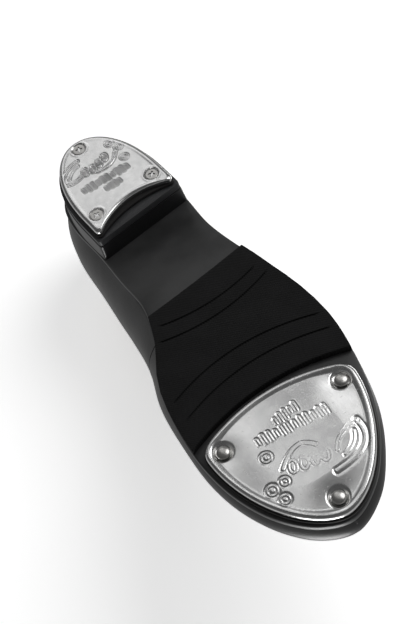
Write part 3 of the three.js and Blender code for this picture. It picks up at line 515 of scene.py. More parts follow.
def ring_strokes(centre, radius, long=1.0, lean=0.0):
    """A ring, or with long an oval that leans."""
    a = np.linspace(0, 2 * math.pi, 17)
    x, y = radius * long * np.cos(a), radius * np.sin(a)
    c, s = math.cos(lean), math.sin(lean)
    line = np.array(centre, float) + np.stack([x * c - y * s, x * s + y * c], -1)
    return [*zip(line[:-1], line[1:])]


def bar_strokes(start, end, count, tall):
    """A row of short upright bars of two heights from start to end."""
    strokes = []
    for n in range(count):
        k = n / (count - 1)
        a, b = (start[m] + (end[m] - start[m]) * k for m in (0, 1))
        half = tall / 2 * (1.0 if n % 3 else 0.6)
        strokes.append((np.array([a - half, b]), np.array([a + half, b])))
    return strokes


def relief(places, groups):
    """Depth of the cast ornament at places of a tap: each stroke stands in a soft sunk outline."""
    depth = np.zeros(len(places))
    for strokes, half, deep in groups:
        near = np.full(len(places), 1e3)
        for a, b in strokes:
            d = b - a
            k = np.clip(((places - a) @ d) / (d @ d), 0, 1)[:, None]
            near = np.minimum(near, np.linalg.norm(places - a - k * d, axis=1))
        moat = np.exp(-((near - half) / 0.5) ** 2)
        depth = np.maximum(depth, deep * moat)
        depth -= 0.09 * np.exp(-(near / half) ** 2) * (near < half)
    return depth


def tap_body(ring_of, centre, height):
    """A plate with a bevelled rim and a face that follows height(places), with 0 as the walking plane."""
    rim = [(0.35, TAP_THICK), (0.08, TAP_THICK - 0.08), (0, TAP_THICK - 0.35), (0, 1.25), (0.06, 0.92),
           (0.25, 0.62), (0.7, 0.3), (1.15, 0.1), (1.5, 0.02)]
    rings = [raised(ring_of(d), z) for d, z in rim]
    inside = ring_of(1.9)
    for s in np.append(np.linspace(1, 0.03, 84), 0):
        places = np.array(centre) + (inside - centre) * s
        rings.append(raised(places, height(places) * (0.15 + 0.85 * smooth(1 - s, 0, 0.07))))
    return stacked(rings, flat_end=False)


# strokes, half width and depth of each group
heel_ornament = [
    (arc_strokes((12.5, 5), (14.3, 13.2), (20.3, 18))
     + arc_strokes((20.3, 18), (22.8, 14), (22.4, 8.6)), 0.75, 0.24),
    (arc_strokes((15.4, 6.5), (16.6, 11), (19.5, 14.3)), 0.5, 0.19),
    ([s for c in ((21.6, 6), (22.6, 2.2), (22.2, -1.8), (21, -6))
      for s in ring_strokes(c, 1.3, 1.8, 0.36)], 0.5, 0.22),
    (arc_strokes((26, 1.5), (26.8, -6), (22.4, -12)), 0.65, 0.22),
    (ring_strokes((15.6, -12.8), 1.7) + ring_strokes((20.6, -15.2), 1.8), 0.55, 0.22),
    (bar_strokes((31, 12.9), (34.2, -11), 10, 4.0), 0.5, 0.22),
    (bar_strokes((38.2, 4), (38.9, -3.4), 4, 3.4), 0.5, 0.2), (ring_strokes((28.4, -13.4), 1.7), 0.5, 0.2)]


def heel_height(places):
    """Face of the heel tap: ornament, a sunk ring round each screw, its hole, and a slow unevenness."""
    z = relief(places, heel_ornament)
    for h, w in HEEL_SCREWS:
        d = np.linalg.norm(places - [h, w], axis=1)
        z -= 0.1 * np.exp(-((d - SCREW_HEAD - 1.1) / 0.55) ** 2)
        z = np.where(d < SCREW_HEAD + SCREW_ROOM, np.clip((SCREW_HEAD + SCREW_ROOM - d) * 5, 0, 0.7), z)
    return z + 0.10 * np.sin(places[:, 0] * 0.11) * np.sin(places[:, 1] * 0.13 + 0.5) + 0.1


points, faces = tap_body(heel_ring, (28, 0), heel_height)
points[:, :2] = heel_at(points[:, 0], points[:, 1])
make_piece("heel_tap_plate", points, faces, tap_finish, "cast_alloy", ["heel_tap"], crease=42)
RECESS_SHADE_FROM, RECESS_SHADE_FULL = 0.42, 0.9      # heights in mm over which the cross recess darkens with painted shade

screw_finish, at = finish("plated_steel")
turned_marks = at.noise(0.4, 3)
# painted shade: above these heights the inside of the cross recess is coloured near-black in place of the
# shade that falls in it
recess_painted_shade = at.node("SeparateXYZ", {}, {0: at}, out="Z").between(RECESS_SHADE_FROM / 1000, RECESS_SHADE_FULL / 1000)
bright = turned_marks.mix((0.56, 0.55, 0.535), (0.74, 0.73, 0.71))
at.surface(Base_Color=recess_painted_shade.mix(bright, (0.03, 0.029, 0.028)), Metallic=1.0,
           Roughness=0.26 + 0.16 * turned_marks, Normal=turned_marks.bump(0.01))


def screw_body(place, turn):
    """A countersunk screw, point up, with a cross recess in its head."""
    arm, arm_half, recess = 1.8, 0.36, 1.3
    a = np.linspace(0, 2 * math.pi, 72, endpoint=False)
    unit = np.stack([np.cos(a), np.sin(a)], -1)
    profile = [(0.25, 13.6), (0.7, 12.6), (1.5, 11.2), (1.9, 10), (1.9, 2.4), (SCREW_HEAD - 0.12, 0.85),
               (SCREW_HEAD, 0.62), (SCREW_HEAD - 0.05, 0.5), (SCREW_HEAD - 0.3, 0.4)]
    rings = [raised(unit * r, z) for r, z in profile]
    c, s = math.cos(turn), math.sin(turn)
    for r in np.append(np.linspace(SCREW_HEAD - 0.5, 0.05, 46), 0):
        p = unit * r
        x, y = np.abs(p[:, 0] * c + p[:, 1] * s), np.abs(p[:, 1] * c - p[:, 0] * s)
        to_tip = arm - np.maximum(x, y)
        inside = np.minimum(to_tip, arm_half + 0.25 * to_tip / arm - np.minimum(x, y))
        dome = 0.34 + 0.05 * (r / SCREW_HEAD) ** 2
        rings.append(raised(p, dome + recess * smooth(inside, -0.06, 0.3) * (1 - 0.35 * r / arm)))
    points, faces = stacked(rings, flat_end=False)
    points[:, :2] += place
    return points, faces


for name, (h, w), turn in zip(("rear", "inner", "outer"), HEEL_SCREWS, (0.35, 1.1, 0.75)):
    points, faces = screw_body(heel_at(np.float64(h), np.float64(w)), turn)
    make_piece(f"heel_screw_{name}_turned", points, faces, screw_finish, "steel",
               [f"heel_screw_{name}"], crease=30)

# ==================== toe tap and its rivets ====================
# The toe plate is cast like the heel tap and polished. It is faintly domed, and dished round three
# domed steel rivets that are clenched over washers inside the sole. A fibre board lies on it.
TOE_TURN = math.radians(4.5)
TOE_ACROSS, TOE_TAP_LENGTH, TOE_TAP_HALF, SHOULDER = 4.0, 65.8, 36.2, 13.0
TOE_RIVETS = [(14, 28.8), (14, -28.8), (57.6, 0)]
DISH, RIVET_HEAD = 4.6, 3.05


def toe_line(grow):
    half_width, length = TOE_TAP_HALF + grow, TOE_TAP_LENGTH + grow
    b = half_width * 0.83 * np.linspace(0, 1, 30)
    rear = [*zip(b ** 2 / 150 - grow, b)]
    k = np.linspace(0, 1, 9)[1:-1, None]
    c0, c1, c2 = map(np.array, (rear[-1], (SHOULDER * 0.66, half_width * 0.985), (SHOULDER, half_width)))
    corner = (1 - k) ** 2 * c0 + 2 * k * (1 - k) * c1 + k ** 2 * c2
    x = 1 - (1 - np.linspace(0, 1, 70)) ** 1.35
    side = [*zip(SHOULDER + (length - SHOULDER) * x, half_width * np.clip(1 - x ** 1.7, 0, 1) ** 0.58)]
    one = [tuple(p) for p in (*rear, *corner, *side)]
    return np.array(one + [(a, -b) for a, b in one[-2:0:-1]])


def toe_ring(inset=0.0, grow=0.0):
    return even_ring(toe_line(grow), toe_line(grow - inset), 3)


def toe_place(points):
    """Toe tap frame (a forward from its rear edge, b inwards, z) to the shoe, tipped up by the spring."""
    a, b, z = np.moveaxis(np.asarray(points, float), -1, 0)
    u = a * math.cos(TOE_TURN) - b * math.sin(TOE_TURN)
    v = TOE_ACROSS + a * math.sin(TOE_TURN) + b * math.cos(TOE_TURN)
    c, s = math.cos(TOE_SPRING), math.sin(TOE_SPRING)
    return np.stack([SPRING_U + u * c - z * s, v, z * c + u * s], -1)


toe_ornament = [
    (arc_strokes((33.6, -24), (44.6, -20.6), (48.3, -5.5)), 1.3, 0.3),
    (arc_strokes((33.6, -24), (36, -15), (41, -10.5))
     + arc_strokes((37, -20.5), (41.5, -17.5), (44, -12)), 0.7, 0.24),
    (arc_strokes((35.2, 12.4), (29.6, 2.5), (33.6, -4.6)), 0.95, 0.29),
    ([s for c in ((36.6, 8.4), (37.8, 3.6), (38.6, -1), (39.6, -5.4))
      for s in ring_strokes(c, 1.7, 1.7, 0.36)], 0.6, 0.24),
    (ring_strokes((40.6, 20.6), 2.2) + ring_strokes((46.8, 18.2), 1.9)
     + ring_strokes((40.2, 14.4), 1.7), 0.65, 0.24),
    (ring_strokes((26.9, 15.3), 2.2), 0.6, 0.23), (bar_strokes((15, 3.6), (13.6, -6.6), 5, 4.2), 0.6, 0.23),
    (bar_strokes((19, 14.5), (22.2, -16.4), 12, 4.6), 0.6, 0.23)]


def toe_height(places):
    """Face of the toe tap: ornament, a dome over the whole plate, a slow unevenness, and the dishes."""
    z = relief(places, toe_ornament)
    edge_run = np.linalg.norm((places - [30, 0]) / [34, 34], axis=1)
    z += 0.7 * smooth(edge_run, 0.4, 1.1)
    z += 0.16 * np.sin(places[:, 0] * 0.12 + 0.6) * np.cos(places[:, 1] * 0.1 + 0.4) - 0.05
    for a, b in TOE_RIVETS:
        d = np.linalg.norm(places - [a, b], axis=1)
        z += 0.35 * np.exp(-(d / 7.5) ** 2)
        z += 1.1 * (1 - smooth(d, RIVET_HEAD + 0.2, DISH + 0.5))
    return np.maximum(z, 0.01)


points, faces = tap_body(toe_ring, (28, 0), toe_height)
make_piece("toe_tap_plate", toe_place(points), faces, tap_finish, "cast_alloy", ["toe_tap"], crease=42)
points, faces = layer_body(lambda d: toe_ring(d, 0.6), BOARD_LOW, BOARD_LOW + BOARD_THICK, 0.25)
make_piece("toe_board", toe_place(points), faces, board_finish, "fibre_board", ["toe_sound_board"])

rivet_finish, at = finish("rivet_steel")
hammered = at.noise(1.1, 3)
at.surface(Base_Color=hammered.mix((0.5, 0.49, 0.475), (0.7, 0.69, 0.67)), Metallic=1.0,
           Roughness=0.22 + 0.16 * hammered, Normal=hammered.bump(0.02))

RIVET_TOP = SOLE_LOW + SOLE_THICK + FIT + 1.5
rivet_profile = [(0.2, RIVET_TOP), (1.4, RIVET_TOP - 0.15), (2.1, RIVET_TOP - 0.5), (1.5, RIVET_TOP - 0.75),
                 (1.5, 1.62), (RIVET_HEAD - 0.15, 1.5), (RIVET_HEAD, 1.35)]
rivet_profile += [(RIVET_HEAD * math.cos(b), 1.25 - 1.12 * math.sin(b))
                  for b in np.linspace(0.05, math.pi / 2 - 0.03, 14)]
angle = np.linspace(0, 2 * math.pi, 48, endpoint=False)
for name, (a, b) in zip(("inner", "outer", "front"), TOE_RIVETS):
    rings = [raised(np.stack([a + r * np.cos(angle), b + r * np.sin(angle)], -1), z)
             for r, z in rivet_profile]
    points, faces = stacked(rings)
    make_piece(f"toe_rivet_{name}_domed", toe_place(points), faces, rivet_finish, "steel",
               [f"toe_rivet_{name}"])

# ==================== upper ====================
# Smooth black leather lasted over the foot shape: a vamp over the toes, lapped on two quarters that
# meet under a back stay. Each is lined, and turned in under the insole at the sole edge.
UPPER_THICK, LINING_THICK, STIFFENER_THICK = 1.3, 0.8, 1.0
FEATHER_INSET = 0.8
MARGIN, TOE_MARGIN = 9.0, 4.2
LAST_Q = 1.25
BACK_HEIGHT = 84.0
CREST = np.array([
    (30, -4, 104), (31, -4, 104), (33, -4.3, 102.5), (38, -4.8, 99.5), (57, -5.5, 92.5),
    (80, -4, 82.5), (104, -2.5, 74), (126, -1, 65.5), (147, 1, 57), (168, 3.5, 49.5), (188, 5.8, 43.2),
    (204, 7.5, 38.6), (215, 8, 35.8), (221, 8.2, 34.4), (224, 8.3, 34)], float)
BULGE_INNER = np.array([4.5, 4.8, 5.4, 6.5, 9.5, 11.2, 12.6, 10, 5.4, 3.2, 2.8, 2.6, 2.6, 2.6, 2.6])
BULGE_OUTER = np.array([4.5, 4.5, 4.5, 5, 5, 5, 5, 4.5, 4, 3.5, 3, 2.8, 2.6, 2.6, 2.6])
TOPLINE = np.array([0, -0.5, -4, -12, -22, -27, -28.5, -29, -26.6])
SEAM, THROAT = 8, 0.9


def along(values, t):
    """Smooth run through evenly spaced values, at station t."""
    last_one = len(values) - 1
    i = np.clip(np.floor(t).astype(int), 0, last_one - 1)
    k = np.clip(t - i, 0, 1)
    if values.ndim > 1:
        k = k[..., None]
    a, b, c = values[np.maximum(0, i - 1)], values[i], values[i + 1]
    d = values[np.minimum(last_one, i + 2)]
    return 0.5 * (2 * b + (c - a) * k + (2 * a - 5 * b + 4 * c - d) * k ** 2
                  + (3 * b - a - 3 * c + d) * k ** 3)


def last_face(t, q):
    """Face of the lasted upper: q is 0 on the crest, 1 at the inner feather edge, -1 at the outer one.

    Round the toe the walls leave the crest forwards, and fall with it.
    """
    t, q = np.broadcast_arrays(np.asarray(t, float), np.asarray(q, float))
    q = np.where((t < 0) | (t > STATIONS), -q, q)
    t = np.abs(t)
    t = np.where(t > STATIONS, 2 * STATIONS - t, t)
    side, s = np.where(q < 0, -1, 1), 1 - np.abs(q)
    turned_in = np.minimum(s, 0)
    margin = MARGIN + (TOE_MARGIN - MARGIN) * smooth(t, 7.4, 9.2)
    e = edge(side, t, FEATHER_INSET - turned_in / (LAST_Q - 1) * margin)
    out = edge(side, t, np.full(t.shape, FEATHER_INSET - 1)) - edge(side, t, np.full(t.shape, FEATHER_INSET))
    low = sole_under(e[..., 0]) + SOLE_THICK + FIT
    s = np.maximum(s, 0)
    a = s * math.pi / 2
    crest = along(CREST, t)
    power = 0.6 + 0.28 * smooth(t, 5, 9)
    inward = np.where(s >= 1, 1, 1 - np.maximum(np.cos(a), 1e-9) ** power)
    bulge = np.where(side > 0, along(BULGE_INNER, t), along(BULGE_OUTER, t)) * 12.2 * s * (1 - s) ** 4
    before, after = along(CREST, np.maximum(0, t - 0.5)), along(CREST, np.minimum(STATIONS, t + 0.5))
    fall = (after[..., 2] - before[..., 2]) / (after[..., 0] - before[..., 0])
    fall = fall * smooth(t, 8, 10) * smooth(s, 0.4, 1)
    ahead = (e[..., 0] - crest[..., 0]) * (1 - inward)
    return np.stack([crest[..., 0] + ahead + out[..., 0] * bulge,
                     e[..., 1] + (crest[..., 1] - e[..., 1]) * inward + out[..., 1] * bulge,
                     low + (crest[..., 2] - low) * np.sin(a) ** 0.9 + fall * ahead], -1)


def skin(t, q, out):
    """The same face moved outwards along its normal."""
    t, q, out = np.broadcast_arrays(*(np.asarray(x, float) for x in (t, q, out)))
    p = last_face(t, q)
    lean = np.where(np.abs(t) > STATIONS - 0.05, np.sign(t) * (STATIONS - 0.05), t)
    lean_q = np.where((np.abs(q) < 0.02) & (np.abs(t) > STATIONS - 1), 0.02, q)
    n = np.cross(last_face(lean + 0.03, lean_q) - last_face(lean - 0.03, lean_q),
                 last_face(lean, lean_q + 0.015) - last_face(lean, lean_q - 0.015))
    n = n / np.maximum(np.linalg.norm(n, axis=-1, keepdims=True), 1e-9)
    heart = np.stack([along(CREST[:, 0], np.clip(np.abs(t), 0, STATIONS)), np.zeros(t.shape),
                      sole_under(p[..., 0]) + SOLE_THICK + 12], -1)
    n = n * np.where(np.sum(n * (p - heart), -1) < 0, -1, 1)[..., None]
    return p + n * out[..., None]


def top_share(side, t):
    """Share of the way up to the crest at which the topline cuts a station."""
    low = sole_under(edge(side, t, np.full(np.shape(t), FEATHER_INSET))[..., 0]) + SOLE_THICK + FIT
    z, high = BACK_HEIGHT + along(TOPLINE, t), along(CREST[:, 2], t)
    return np.arcsin(np.clip((z - low) / (high - low), 0, 0.9995) ** (1 / 0.9)) * 2 / math.pi


def seam(s):
    """Station of the vamp seam: it runs back towards the sole."""
    return SEAM - 1.15 * (1 - np.clip(s, 0, 1)) ** 1.4


def lining_depth(t, s):
    """How far the lining lies inside the face, deeper where the counter and the toe puff lie between."""
    stiffened = 1 - smooth(np.abs(t), 3.5, 4.4) + smooth(t, 10.6, 11.5)
    return UPPER_THICK + FIT + (STIFFENER_THICK + FIT) * smooth(s, 0, 0.05) * stiffened


def lie(t, q):
    """Faint hollows and swells that leather keeps from the last, in mm."""
    return 0.16 * np.sin(1.9 * t + 5 * q) * np.sin(2.7 * q + 0.8 * t) * smooth(1 - np.abs(q), 0.03, 0.2)


leather_finish, at = finish("black_leather")
pores = at.cells(0.9, "DISTANCE_TO_EDGE")
grain, cloud, streak = at.noise(0.5, 3), at.noise(26, 4), at.noise(6, 3)
at.surface(Base_Color=cloud.mix((0.0085, 0.0085, 0.009), (0.016, 0.016, 0.0165)),
           Roughness=0.3 + 0.14 * cloud + 0.08 * streak, Specular_IOR_Level=0.5,
           Normal=(pores.between(0.0, 0.25) * 0.5 + grain * 0.5).bump(0.03),
           Coat_Weight=0.1, Coat_Roughness=0.25)
lining_finish, at = finish("tan_lining")
weave = at.cells(0.7, "DISTANCE_TO_EDGE")
cloud = at.noise(12, 4)
at.surface(Base_Color=cloud.mix((0.30, 0.235, 0.165), (0.36, 0.29, 0.21)), Roughness=0.72 + 0.12 * cloud,
           Normal=weave.between(0.0, 0.2).bump(0.05))

LAP, LAP_LIFT = 0.26, 1.15    # how far the vamp laps the quarters, in stations, and rises over them


def lap_lift(t, s):
    """How far the vamp rises at its seam, in mm, where it is over the quarters."""
    return LAP_LIFT * (1 - smooth(t, seam(s) + 0.02, seam(s) + 0.3))


vamp_share = np.linspace(0, 1, 100) ** 1.15
margin_q = np.linspace(1, LAST_Q, 5)[1:]
vamp_cols = np.concatenate([-margin_q[::-1], np.linspace(-1, 1, 121), margin_q])
x, q = np.meshgrid(vamp_share, vamp_cols, indexing="ij")
s = 1 - np.abs(q)
on_wall = (1 - smooth(s, 0.8, 0.89)) * smooth(s, 0.12, 0.34)
t = STATIONS + (seam(s) + 0.012 - LAP * on_wall - STATIONS) * x
lifted = lie(t, q) + lap_lift(t, s) * on_wall
skived = UPPER_THICK - 0.2 * on_wall * x ** 8
points, faces = sheet(skin(t, q, lifted), skin(t, q, lifted - skived))
vamp_piece = make_piece("vamp_leather", points, faces, leather_finish, "upper_leather", ["vamp"], crease=45)


def round_rim(piece, width):
    """Soft folded edge on a sheet of leather."""
    bevel = piece.modifiers.new("rim", "BEVEL")
    bevel.width, bevel.segments = width / 1000, 2
    bevel.limit_method, bevel.angle_limit = "ANGLE", math.radians(55)
    bevel.harden_normals = False


round_rim(vamp_piece, 0.35)
x, q = np.meshgrid(np.linspace(0, 1, 50), vamp_cols[::2], indexing="ij")
s = 1 - np.abs(q)
t = STATIONS + (seam(s) + 0.012 - STATIONS) * x
points, faces = sheet(skin(t, q, -lining_depth(t, s)), skin(t, q, -lining_depth(t, s) - LINING_THICK))
make_piece("vamp_lining_skin", points, faces, lining_finish, "lining", ["vamp_lining"], crease=45)

quarter_rows = np.linspace(0, 1, 100)
quarter_cols = np.concatenate([np.linspace(1 - LAST_Q, 0, 5)[:-1], np.linspace(0, 1, 48)])


def quarter_place(side, rows, cols):
    """Stations and q of a quarter: rows run from the vamp seam to the back seam, cols from the margin up."""
    x, c = np.meshgrid(rows, cols, indexing="ij")
    top_t = seam(THROAT) - 0.012 + (0.024 - seam(THROAT)) * x ** 1.25
    full = np.minimum(THROAT, top_share(side, top_t))
    t = seam(np.maximum(0, c) * THROAT) - 0.012
    t = t + (0.012 - t) * x ** 1.25
    return t, side * (1 - np.where(c > 0, c * full, c))


for name, side in (("inner", 1), ("outer", -1)):
    t, q = quarter_place(side, quarter_rows, quarter_cols)
    points, faces = sheet(skin(t, q, lie(t, q)), skin(t, q, lie(t, q) - UPPER_THICK))
    make_piece(f"{name}_quarter_leather", points, faces, leather_finish, "upper_leather",
               [f"{name}_quarter"], crease=45)
    t, q = quarter_place(side, quarter_rows[::2], quarter_cols[::2])
    depth = lining_depth(t, 1 - np.abs(q))
    points, faces = sheet(skin(t, q, -depth), skin(t, q, -depth - LINING_THICK))
    make_piece(f"{name}_lining_skin", points, faces, lining_finish, "lining",
               [f"{name}_quarter_lining"], crease=45)

# ==================== seams ====================
# Rows of short lockstitches in waxed black thread. Each stitch dips into the leather at its ends.
thread_finish, at = finish("waxed_thread")
twist = at.noise(0.3, 2)
at.surface(Base_Color=twist.mix((0.012, 0.012, 0.012), (0.035, 0.035, 0.035)), Roughness=0.45 + 0.2 * twist,
           Normal=twist.bump(0.04))
STITCH, STITCH_PITCH, THREAD = 2.3, 3.0, 0.3
# share of the way along a stitch, and its thickness there
STITCH_SHAPE = [(0, 0.25), (0.12, 0.8), (0.35, 1), (0.65, 1), (0.88, 0.8), (1, 0.25)]


def stitches(path):
    """Points and faces of a row of stitches along a path of points."""
    run = np.concatenate([[0], np.cumsum(np.linalg.norm(np.diff(path, axis=0), axis=1))])
    count = max(1, int(run[-1] // STITCH_PITCH))
    points, faces = [], []
    a = np.linspace(0, 2 * math.pi, 6, endpoint=False)
    for n in range(count):
        middle = (n + 0.5) * run[-1] / count
        ends = [np.array([np.interp(middle + k * STITCH / 2, run, path[:, c]) for c in range(3)])
                for k in (-1, 1)]
        d = (ends[1] - ends[0]) / np.linalg.norm(ends[1] - ends[0])
        e1 = np.cross(d, [0.3, 0.2, 0.93])
        e1 /= np.linalg.norm(e1)
        e2 = np.cross(d, e1)
        loops = []
        for k, wide in STITCH_SHAPE:
            centre = ends[0] + (ends[1] - ends[0]) * k
            loops.append(centre + wide * THREAD * (np.cos(a)[:, None] * e1 + np.sin(a)[:, None] * e2))
        one, quads = stacked(loops)
        faces += [[i + len(points) * len(one) for i in f] for f in quads]
        points.append(one)
    return np.concatenate(points), faces


def join(bodies):
    """Points and faces of several bodies as those of one."""
    points, faces = [], []
    for p, f in bodies:
        base = sum(len(x) for x in points)
        points.append(p)
        faces += [[i + base for i in face] for face in f]
    return np.concatenate(points), faces


rows = []
for behind in (0.07, 0.16):
    for side in (-1, 1):
        s = np.linspace(0.3, 0.79, 100)
        t, q = seam(s) - LAP * smooth(s, 0.12, 0.34) + behind, side * (1 - s)
        rows.append(stitches(skin(t, q, lie(t, q) + lap_lift(t, s) + 0.12)))
make_piece("vamp_stitching", *join(rows), thread_finish, "upper_leather")

# ==================== back stay ====================
# A narrow strip of the same leather sewn over the back seam with two rows of stitches.
STAY_HALF = 0.5
y, x = np.meshgrid(np.linspace(-STAY_HALF, STAY_HALF, 25), np.linspace(0, 1, 50), indexing="ij")
stay_side = np.where(y < 0, -1, 1)
stay_q = stay_side * (1 - (0.02 + (top_share(stay_side, np.abs(y)) * 0.97 - 0.02) * x))
points, faces = sheet(skin(np.abs(y), stay_q, 1.1), skin(np.abs(y), stay_q, 0.22))
stay_piece = make_piece("back_stay_strip", points, faces, leather_finish, "upper_leather", ["back_stay"],
                        crease=45)
round_rim(stay_piece, 0.3)
rows = []
for side in (-1, 1):
    s = np.linspace(0.05, 1, 80) * top_share(side, np.float64(0.38)) * 0.95
    rows.append(stitches(skin(np.full(80, 0.38), side * (1 - s), 1.2)))
make_piece("back_stay_stitching", *join(rows), thread_finish, "upper_leather")

# ==================== topline binding ====================
# A soft strip of leather folded over the raw edges of upper and lining, all round the opening, and
# sewn through just below the fold.
LEG, BAND_THICK = 4.2, 0.8
t_run = np.linspace(0, 1, 130) ** 1.1 * (seam(THROAT) - 0.02)
side_paths = []
for side in (1, -1):
    s = np.minimum(THROAT, top_share(side, t_run))
    depth = (lining_depth(t_run, s) + LINING_THICK) / 2
    here, below = skin(t_run, side * (1 - s), -depth), skin(t_run, side * (1 - s + 0.03), -depth)
    outward = skin(t_run, side * (1 - s), 0) - here
    side_paths.append((here, here - below, outward, depth))
throat_q = np.linspace(0.1, -0.1, 14)[1:-1]
throat_t, throat_depth = np.full(len(throat_q), float(SEAM)), np.full(len(throat_q), 1.2)
here = skin(throat_t, throat_q, -throat_depth)
ahead = skin(throat_t + 0.15, throat_q, -throat_depth)
throat = (here, here - ahead, skin(throat_t, throat_q, 0) - here, throat_depth)
parts = [np.concatenate([a, b, c[::-1]]) for a, b, c in zip(side_paths[0], throat, side_paths[1])]
path, up, outward, half_depth = parts
run = np.concatenate([[0], np.cumsum(np.linalg.norm(np.diff(np.vstack([path, path[:1]]), axis=0), axis=1))])
even = np.linspace(0, run[-1], 320, endpoint=False)


def even_run(values, passes):
    closed = np.concatenate([values, values[:1]])
    made = np.stack([np.interp(even, run, closed[:, c]) for c in range(closed.shape[1])], -1)
    for _ in range(passes):
        made = (np.roll(made, 1, 0) + 2 * made + np.roll(made, -1, 0)) / 4
    return made


path = even_run(path, 6)
half_depth = even_run(half_depth[:, None], 12)
tangent = np.roll(path, -1, 0) - np.roll(path, 1, 0)
tangent /= np.linalg.norm(tangent, axis=1, keepdims=True)
outward = even_run(outward / np.linalg.norm(outward, axis=1, keepdims=True), 12)
outward -= tangent * np.sum(outward * tangent, 1, keepdims=True)
outward /= np.linalg.norm(outward, axis=1, keepdims=True)
up = np.cross(outward, tangent)
up *= np.sign(up[:, 2:3].mean())
bend = np.linspace(0, math.pi, 9)
loops = []
for p, n, w, h in zip(path, outward, up, half_depth[:, 0]):
    inner_w, outer_w = h + 0.12, h + 0.12 + BAND_THICK
    outer_arc = [(outer_w * math.cos(b), 0.35 + outer_w * math.sin(b) * 0.8) for b in bend]
    inner_arc = [(inner_w * math.cos(b), 0.3 + inner_w * math.sin(b) * 0.45) for b in bend[::-1]]
    section = [(outer_w - 0.25, -LEG), (outer_w, -LEG + 0.3), (outer_w, -LEG / 2), *outer_arc,
               (-outer_w, -LEG / 2), (-outer_w, -LEG + 0.3), (-outer_w + 0.25, -LEG),
               (-inner_w, -LEG + 0.2), (-inner_w, -LEG / 2), *inner_arc,
               (inner_w, -LEG / 2), (inner_w, -LEG + 0.2)]
    loops.append([p + n * a + w * (b + 0.1) for a, b in section])
loops = np.array(loops)
make_piece("topline_band", *swept(np.concatenate([loops, loops[:1]]), ends=False), leather_finish,
           "upper_leather", ["topline_binding"], crease=50)
sewn = path + outward * (half_depth + 0.12 + BAND_THICK + 0.06) - up * (LEG - 1.1)
make_piece("topline_stitching", *stitches(np.vstack([sewn, sewn[:1]])), thread_finish, "upper_leather")

# ==================== strap ====================
# One leather strap, lined and edge-stitched, sewn in behind the inner topline. It crosses the instep and
# is held on the outer quarter by a hook pad under its tip and a loop pad on the quarter.
STRAP_FROM, STRAP_TO, STRAP_END = 5.12, 5.72, -0.82
STRAP_MID, STRAP_WIDTH = (STRAP_FROM + STRAP_TO) / 2, STRAP_TO - STRAP_FROM
STRAP_THICK, PAD_THICK = 1.3, 0.8
STRAP_CLEAR = 3 * FIT + 2 * PAD_THICK
TAB = 0.2                     # the sewn end below the topline, as a share of the free length
STRAP_DEEP, STRAP_SHALLOW = -6.1, -1.2  # height of its lined side at the sewn end, and above the topline
ROOT_UP = 0.062


def strap_place(x, y, out):
    """x from -TAB at the sewn end through 0 above the topline to 1 at the tip; y across it."""
    tip = np.clip((1 - x) / 0.07, 0, 1)
    foot = np.clip((x + TAB) / 0.03, 0, 1)
    wide = np.sqrt(1 - (1 - tip) ** 2) * 0.85 + 0.15
    wide = wide * (0.8 + 0.2 * np.sqrt(1 - (1 - foot) ** 2))
    t = STRAP_MID + (y - 0.5) * STRAP_WIDTH * wide
    root = 1 - top_share(1, t) - ROOT_UP
    over = STRAP_DEEP + (STRAP_SHALLOW - STRAP_DEEP) * smooth(x, 0.02, 0.16)
    over = over + (STRAP_CLEAR - STRAP_SHALLOW) * smooth(x, 0.08, 0.36)
    return skin(t, root + (STRAP_END - root) * x, over + out)


lengthwise = np.concatenate([[-TAB, -TAB + 0.004, -TAB + 0.01], np.linspace(-TAB + 0.02, 0.93, 96),
                             [0.945, 0.96, 0.972, 0.982, 0.99, 0.996, 1.0]])
crosswise = np.concatenate([[0, 0.025], np.linspace(0.06, 0.94, 13), [0.975, 1]])
x, y = np.meshgrid(lengthwise, crosswise, indexing="ij")
crown = 0.25 * (1 - (2 * y - 1) ** 4)
strap_top = LINING_THICK + STRAP_THICK
strap_faces = {
    "strap_leather": (strap_place(x, y, strap_top + crown), strap_place(x, y, LINING_THICK + 0.02)),
    "strap_lining_skin": (strap_place(x, y, LINING_THICK), strap_place(x, y, 0))}
blend_low = to_frame(strap_place(np.float64(-0.06), np.float64(0.5), np.float64(1)))
blend_high = to_frame(strap_place(np.float64(0.1), np.float64(0.5), np.float64(1)))


def bend_strap(piece):
    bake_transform(piece)


for name, (face, far) in strap_faces.items():
    leather = name == "strap_leather"
    points, faces = sheet(face, far)
    piece = make_piece(name, points, faces, leather_finish if leather else lining_finish,
                       "upper_leather" if leather else "lining", ["strap" if leather else "strap_lining"],
                       body=None, crease=45)
    bend_strap(piece)
inset_y = 0.1
long_x = np.linspace(-TAB + 0.03, 0.95, 120)
line = [(x, inset_y) for x in long_x] + [(0.972, 0.3), (0.976, 0.5), (0.972, 0.7)]
line += [(x, 1 - inset_y) for x in long_x[::-1]]
x, y = np.array(line).T
edge_row = strap_place(x, y, strap_top + 0.25)
y = np.linspace(inset_y, 1 - inset_y, 12)
cross_rows = [strap_place(np.full(12, x), y, strap_top + 0.3) for x in (-TAB + 0.03, -TAB * 0.52)]
sewn_rows = join([stitches(row) for row in (edge_row, *cross_rows)])
bend_strap(make_piece("strap_stitching", *sewn_rows, thread_finish, "upper_leather", body=None))

